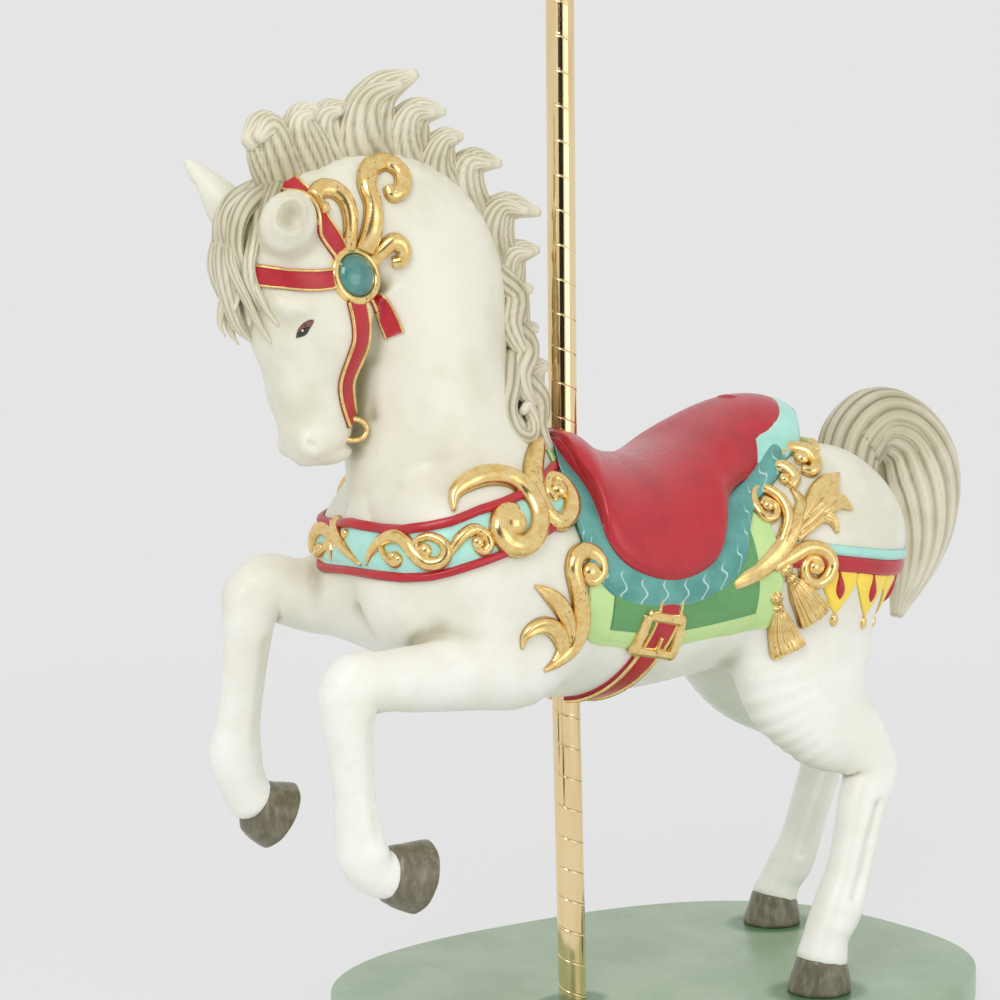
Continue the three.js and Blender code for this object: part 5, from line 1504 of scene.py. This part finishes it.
eyes = {"black": [], "brown": [], "glint": []}
for side in (NEAR, FAR):
    eyes["brown"].append(almond(side, [(-450, -53, 878), (-432, -66, 899)], 5.2, 1.4, 2.2))
    eyes["black"].append(almond(side, [(-449, -54, 879), (-436, -62, 891)], 4.4, 2.2, 0.5))
    # A white dot on each eye, a painted highlight.
    spot = settle(bare, np.array([[-444.0, 58.0 * side, 887]]), 5)
    facing = slope(bare, spot)[0]
    eyes["glint"].append(knob(spot[0] + facing * 1.6, (1.5, 1.5, 1.2), facing, 12, 8))
piece("eyes_black", stack(eyes["black"]), pupil, ["horse"])
piece("eyes_brown", stack(eyes["brown"]), lid, ["horse"])
piece("eyes_glint", stack(eyes["glint"]), glint, ["horse"])


# ---------- poles and base ----------
POLE_SIDES, UPPER_PITCH, LOWER_PITCH = 64, 45, 41.5  # facets round a tube, and mm from thread to thread


def pole(x0, z0, lean, low, high, pitch, domed=False):
    """A brass tube with one thread cut round it: rows of points follow the thread, whose profile is a
    narrow groove between two slight lips, and are cut off level at both ends."""
    half = np.array([[0, -0.6], [0.5, -0.45], [0.9, 0.0], [1.5, 0.1], [2.6, 0.02], [5, 0]])
    profile = np.vstack([half, [[pitch / 2, 0]], (half * [-1, 1] + [pitch, 0])[:0:-1]])
    starts = np.arange(np.floor(low / pitch) - 1, np.ceil(high / pitch) + 1) * pitch
    v = (starts[:, None] + profile[:, 0]).ravel()
    cut = np.tile(profile[:, 1], len(starts))
    turn = np.linspace(0, 2 * np.pi, POLE_SIDES + 1)
    z = np.clip(v[:, None] - pitch * turn / (2 * np.pi), low, high)
    r = POLE_R - 0.25 + cut[:, None] * ((z > low + 2) & (z < high - 2))
    if domed:
        r = r - 6 * np.clip((z - high + 10) / 10, 0, 1) ** 2
    x = x0 - np.tan(np.radians(lean)) * (z - z0)
    tube = np.stack([x + r * np.cos(turn), r * np.sin(turn), z], -1)
    ends = [np.array([x0 - np.tan(np.radians(lean)) * (end - z0), 0, end]) for end in (low, high)]
    ends = [np.broadcast_to(end, (1, POLE_SIDES + 1, 3)) for end in ends]
    grid = np.concatenate([ends[0], tube, ends[1]])
    n, m = grid.shape[:2]
    part = dict(points=grid.reshape(-1, 3), faces=weave(n, m), wash_and_shade=np.zeros(n * m), place=np.zeros((n * m, 2)))
    return outward(part)


def welded(obj):
    """The same object with points that lie on each other made one, and no faces without area."""
    work = bmesh.new()
    work.from_mesh(obj.data)
    bmesh.ops.remove_doubles(work, verts=work.verts, dist=2e-6)
    bmesh.ops.dissolve_degenerate(work, edges=work.edges, dist=1e-6)
    work.to_mesh(obj.data)
    work.free()
    return obj


upper = pole(SADDLE_X, 740, UPPER_LEAN, SADDLE_SOCKET + 1, POLE_TOP, UPPER_PITCH, True)
lower = pole(0, 0, LOWER_LEAN, BASE_SOCKET + 1, BELLY_SOCKET - 1, LOWER_PITCH)
welded(piece("thread_cut_upper_pole", upper, brass, ["upper_pole"]))
welded(piece("thread_cut_lower_pole", lower, brass, ["lower_pole"]))


def board():
    """The base: rings of a rounded rectangle from the middle of the underside, round the rim, to the middle of
    the top. A shadow is painted where the distance to a hoof or the pole is small."""
    turn = all_round(192)
    flat = np.stack([np.cos(turn), np.sin(turn)], -1)
    outline = np.sign(flat) * np.abs(flat) ** (2 / BASE_ROUND) * [BASE_LONG / 2, BASE_WIDE / 2]
    rim = 4.0
    arc = np.linspace(0, np.pi / 2, 7)
    fall, climb = rim * (1 - np.sin(arc)), rim * (1 - np.cos(arc))
    top = np.linspace(rim + 2, 440, 40)  # how far each ring of the top lies in from the outline
    inset = np.concatenate([[400], fall, climb, top])
    z = np.concatenate([[-BASE_T], -BASE_T + climb, -fall, 0 * top])
    scale = np.clip(1 - inset / (BASE_LONG / 2), 0.001, 1)
    flat = outline[None] * scale[:, None, None] + np.array([-POLE_FOOT[0], -POLE_FOOT[1]])
    rings = np.dstack([flat, np.broadcast_to(z[:, None], flat.shape[:2])])
    spots = np.array([[300, -156, 62, 52], [502, 161, 62, 52], [0, 0, 44, 30]], float)
    near = [np.hypot((flat[..., 0] - x) / a, (flat[..., 1] - y) / b) for x, y, a, b in spots]
    foot_shadow = 1 - ramp(np.min(near, 0), 0.8, 1.5)
    return loft(rings, foot_shadow)


piece("base_board", board(), grass, ["base"])

# ---------- floor, light and camera ----------
def floor_paper():
    """Seamless pale paper: it takes a faint soft shadow under the object, and with distance its own
    tone gives way to the even light of the studio wall, so that no horizon shows."""
    made, tree = begin("seamless_pale_paper")
    place = add(tree, "TexCoord").outputs["Object"]
    away = add(tree, "VectorMath", {0: place}, operation="LENGTH").outputs["Value"]
    near, far = 1.2, 4.5  # metres from the pole between which the paper gives way
    paper = coated(tree, shade_of("#7c7c7c"), (away, near, far, 0, 1, shade_of("#000000")))
    glow = coated(tree, shade_of("#cccccc"), (away, near, far, 0, 1, shade_of("#e5e5e5")))
    shine(tree, paper, 1.0, Emission_Color=glow, Emission_Strength=1.0, Specular_IOR_Level=0.0)
    return made


reach, across = np.linspace(0, 1, 24) ** 2 * 60000, all_round(64)  # rings out to 60 m
ground = bpy.data.meshes.new("floor")
rings = np.stack([reach[:, None] * np.cos(across), reach[:, None] * np.sin(across), np.zeros((24, 64))], -1)
ground.from_pydata((rings.reshape(-1, 3) * MM).tolist(), [], weave(24, 64, True).tolist())
ground.materials.append(floor_paper())
floor = bpy.data.objects.new("floor", ground)
bpy.context.scene.collection.objects.link(floor)

world = bpy.data.worlds.new("studio")
bpy.context.scene.world = world
world.use_nodes = True
world.node_tree.nodes["Background"].inputs["Color"].default_value = shade_of("#e5e5e5")
world.node_tree.nodes["Background"].inputs["Strength"].default_value = 1.0


def softbox(name, at, aim, size, watts):
    """A square studio light at a place in metres, turned to aim."""
    lamp = bpy.data.lights.new(name, "AREA")
    lamp.shape, lamp.size, lamp.energy = "SQUARE", size, watts
    made = bpy.data.objects.new(name, lamp)
    bpy.context.scene.collection.objects.link(made)
    made.location = at
    made.rotation_euler = (Vector(aim) - Vector(at)).to_track_quat("-Z", "Y").to_euler()


# A dark studio flag behind the camera, seen only in polished metal and gloss.
flag = bpy.data.meshes.new("studio_flag")
left, right, low, high = (-5.0, -3.4), (-2.0, -5.5), (0.1,), (4.0,)  # its edges, in metres
flag.from_pydata([left + low, right + low, right + high, left + high], [], [(0, 1, 2, 3)])
flag_cloth, flag_tree = begin("black_flag_cloth")
shine(flag_tree, shade_of("#0c0b09"), 0.9)
flag.materials.append(flag_cloth)
flag = bpy.data.objects.new("studio_flag", flag)
bpy.context.scene.collection.objects.link(flag)
flag.visible_camera = flag.visible_diffuse = flag.visible_shadow = False

softbox("key", (-2.6, -2.0, 2.7), (-0.1, 0, 0.7), 1.6, 34)
softbox("fill", (0.4, -3.4, 0.9), (0.1, 0, 0.4), 2.2, 14)

TURN, TILT = np.radians(35), np.radians(3)  # the camera's way of looking, right of ahead and downwards
lens = bpy.data.cameras.new("camera")
lens.lens, lens.sensor_width = 77.4, 36
camera = bpy.data.objects.new("camera", lens)
bpy.context.scene.collection.objects.link(camera)
camera.location = (-1.901, -2.321, 0.866)
camera.rotation_euler = (np.pi / 2 - TILT, 0, -TURN)
bpy.context.scene.camera = camera
bpy.context.scene.view_settings.view_transform = "Standard"
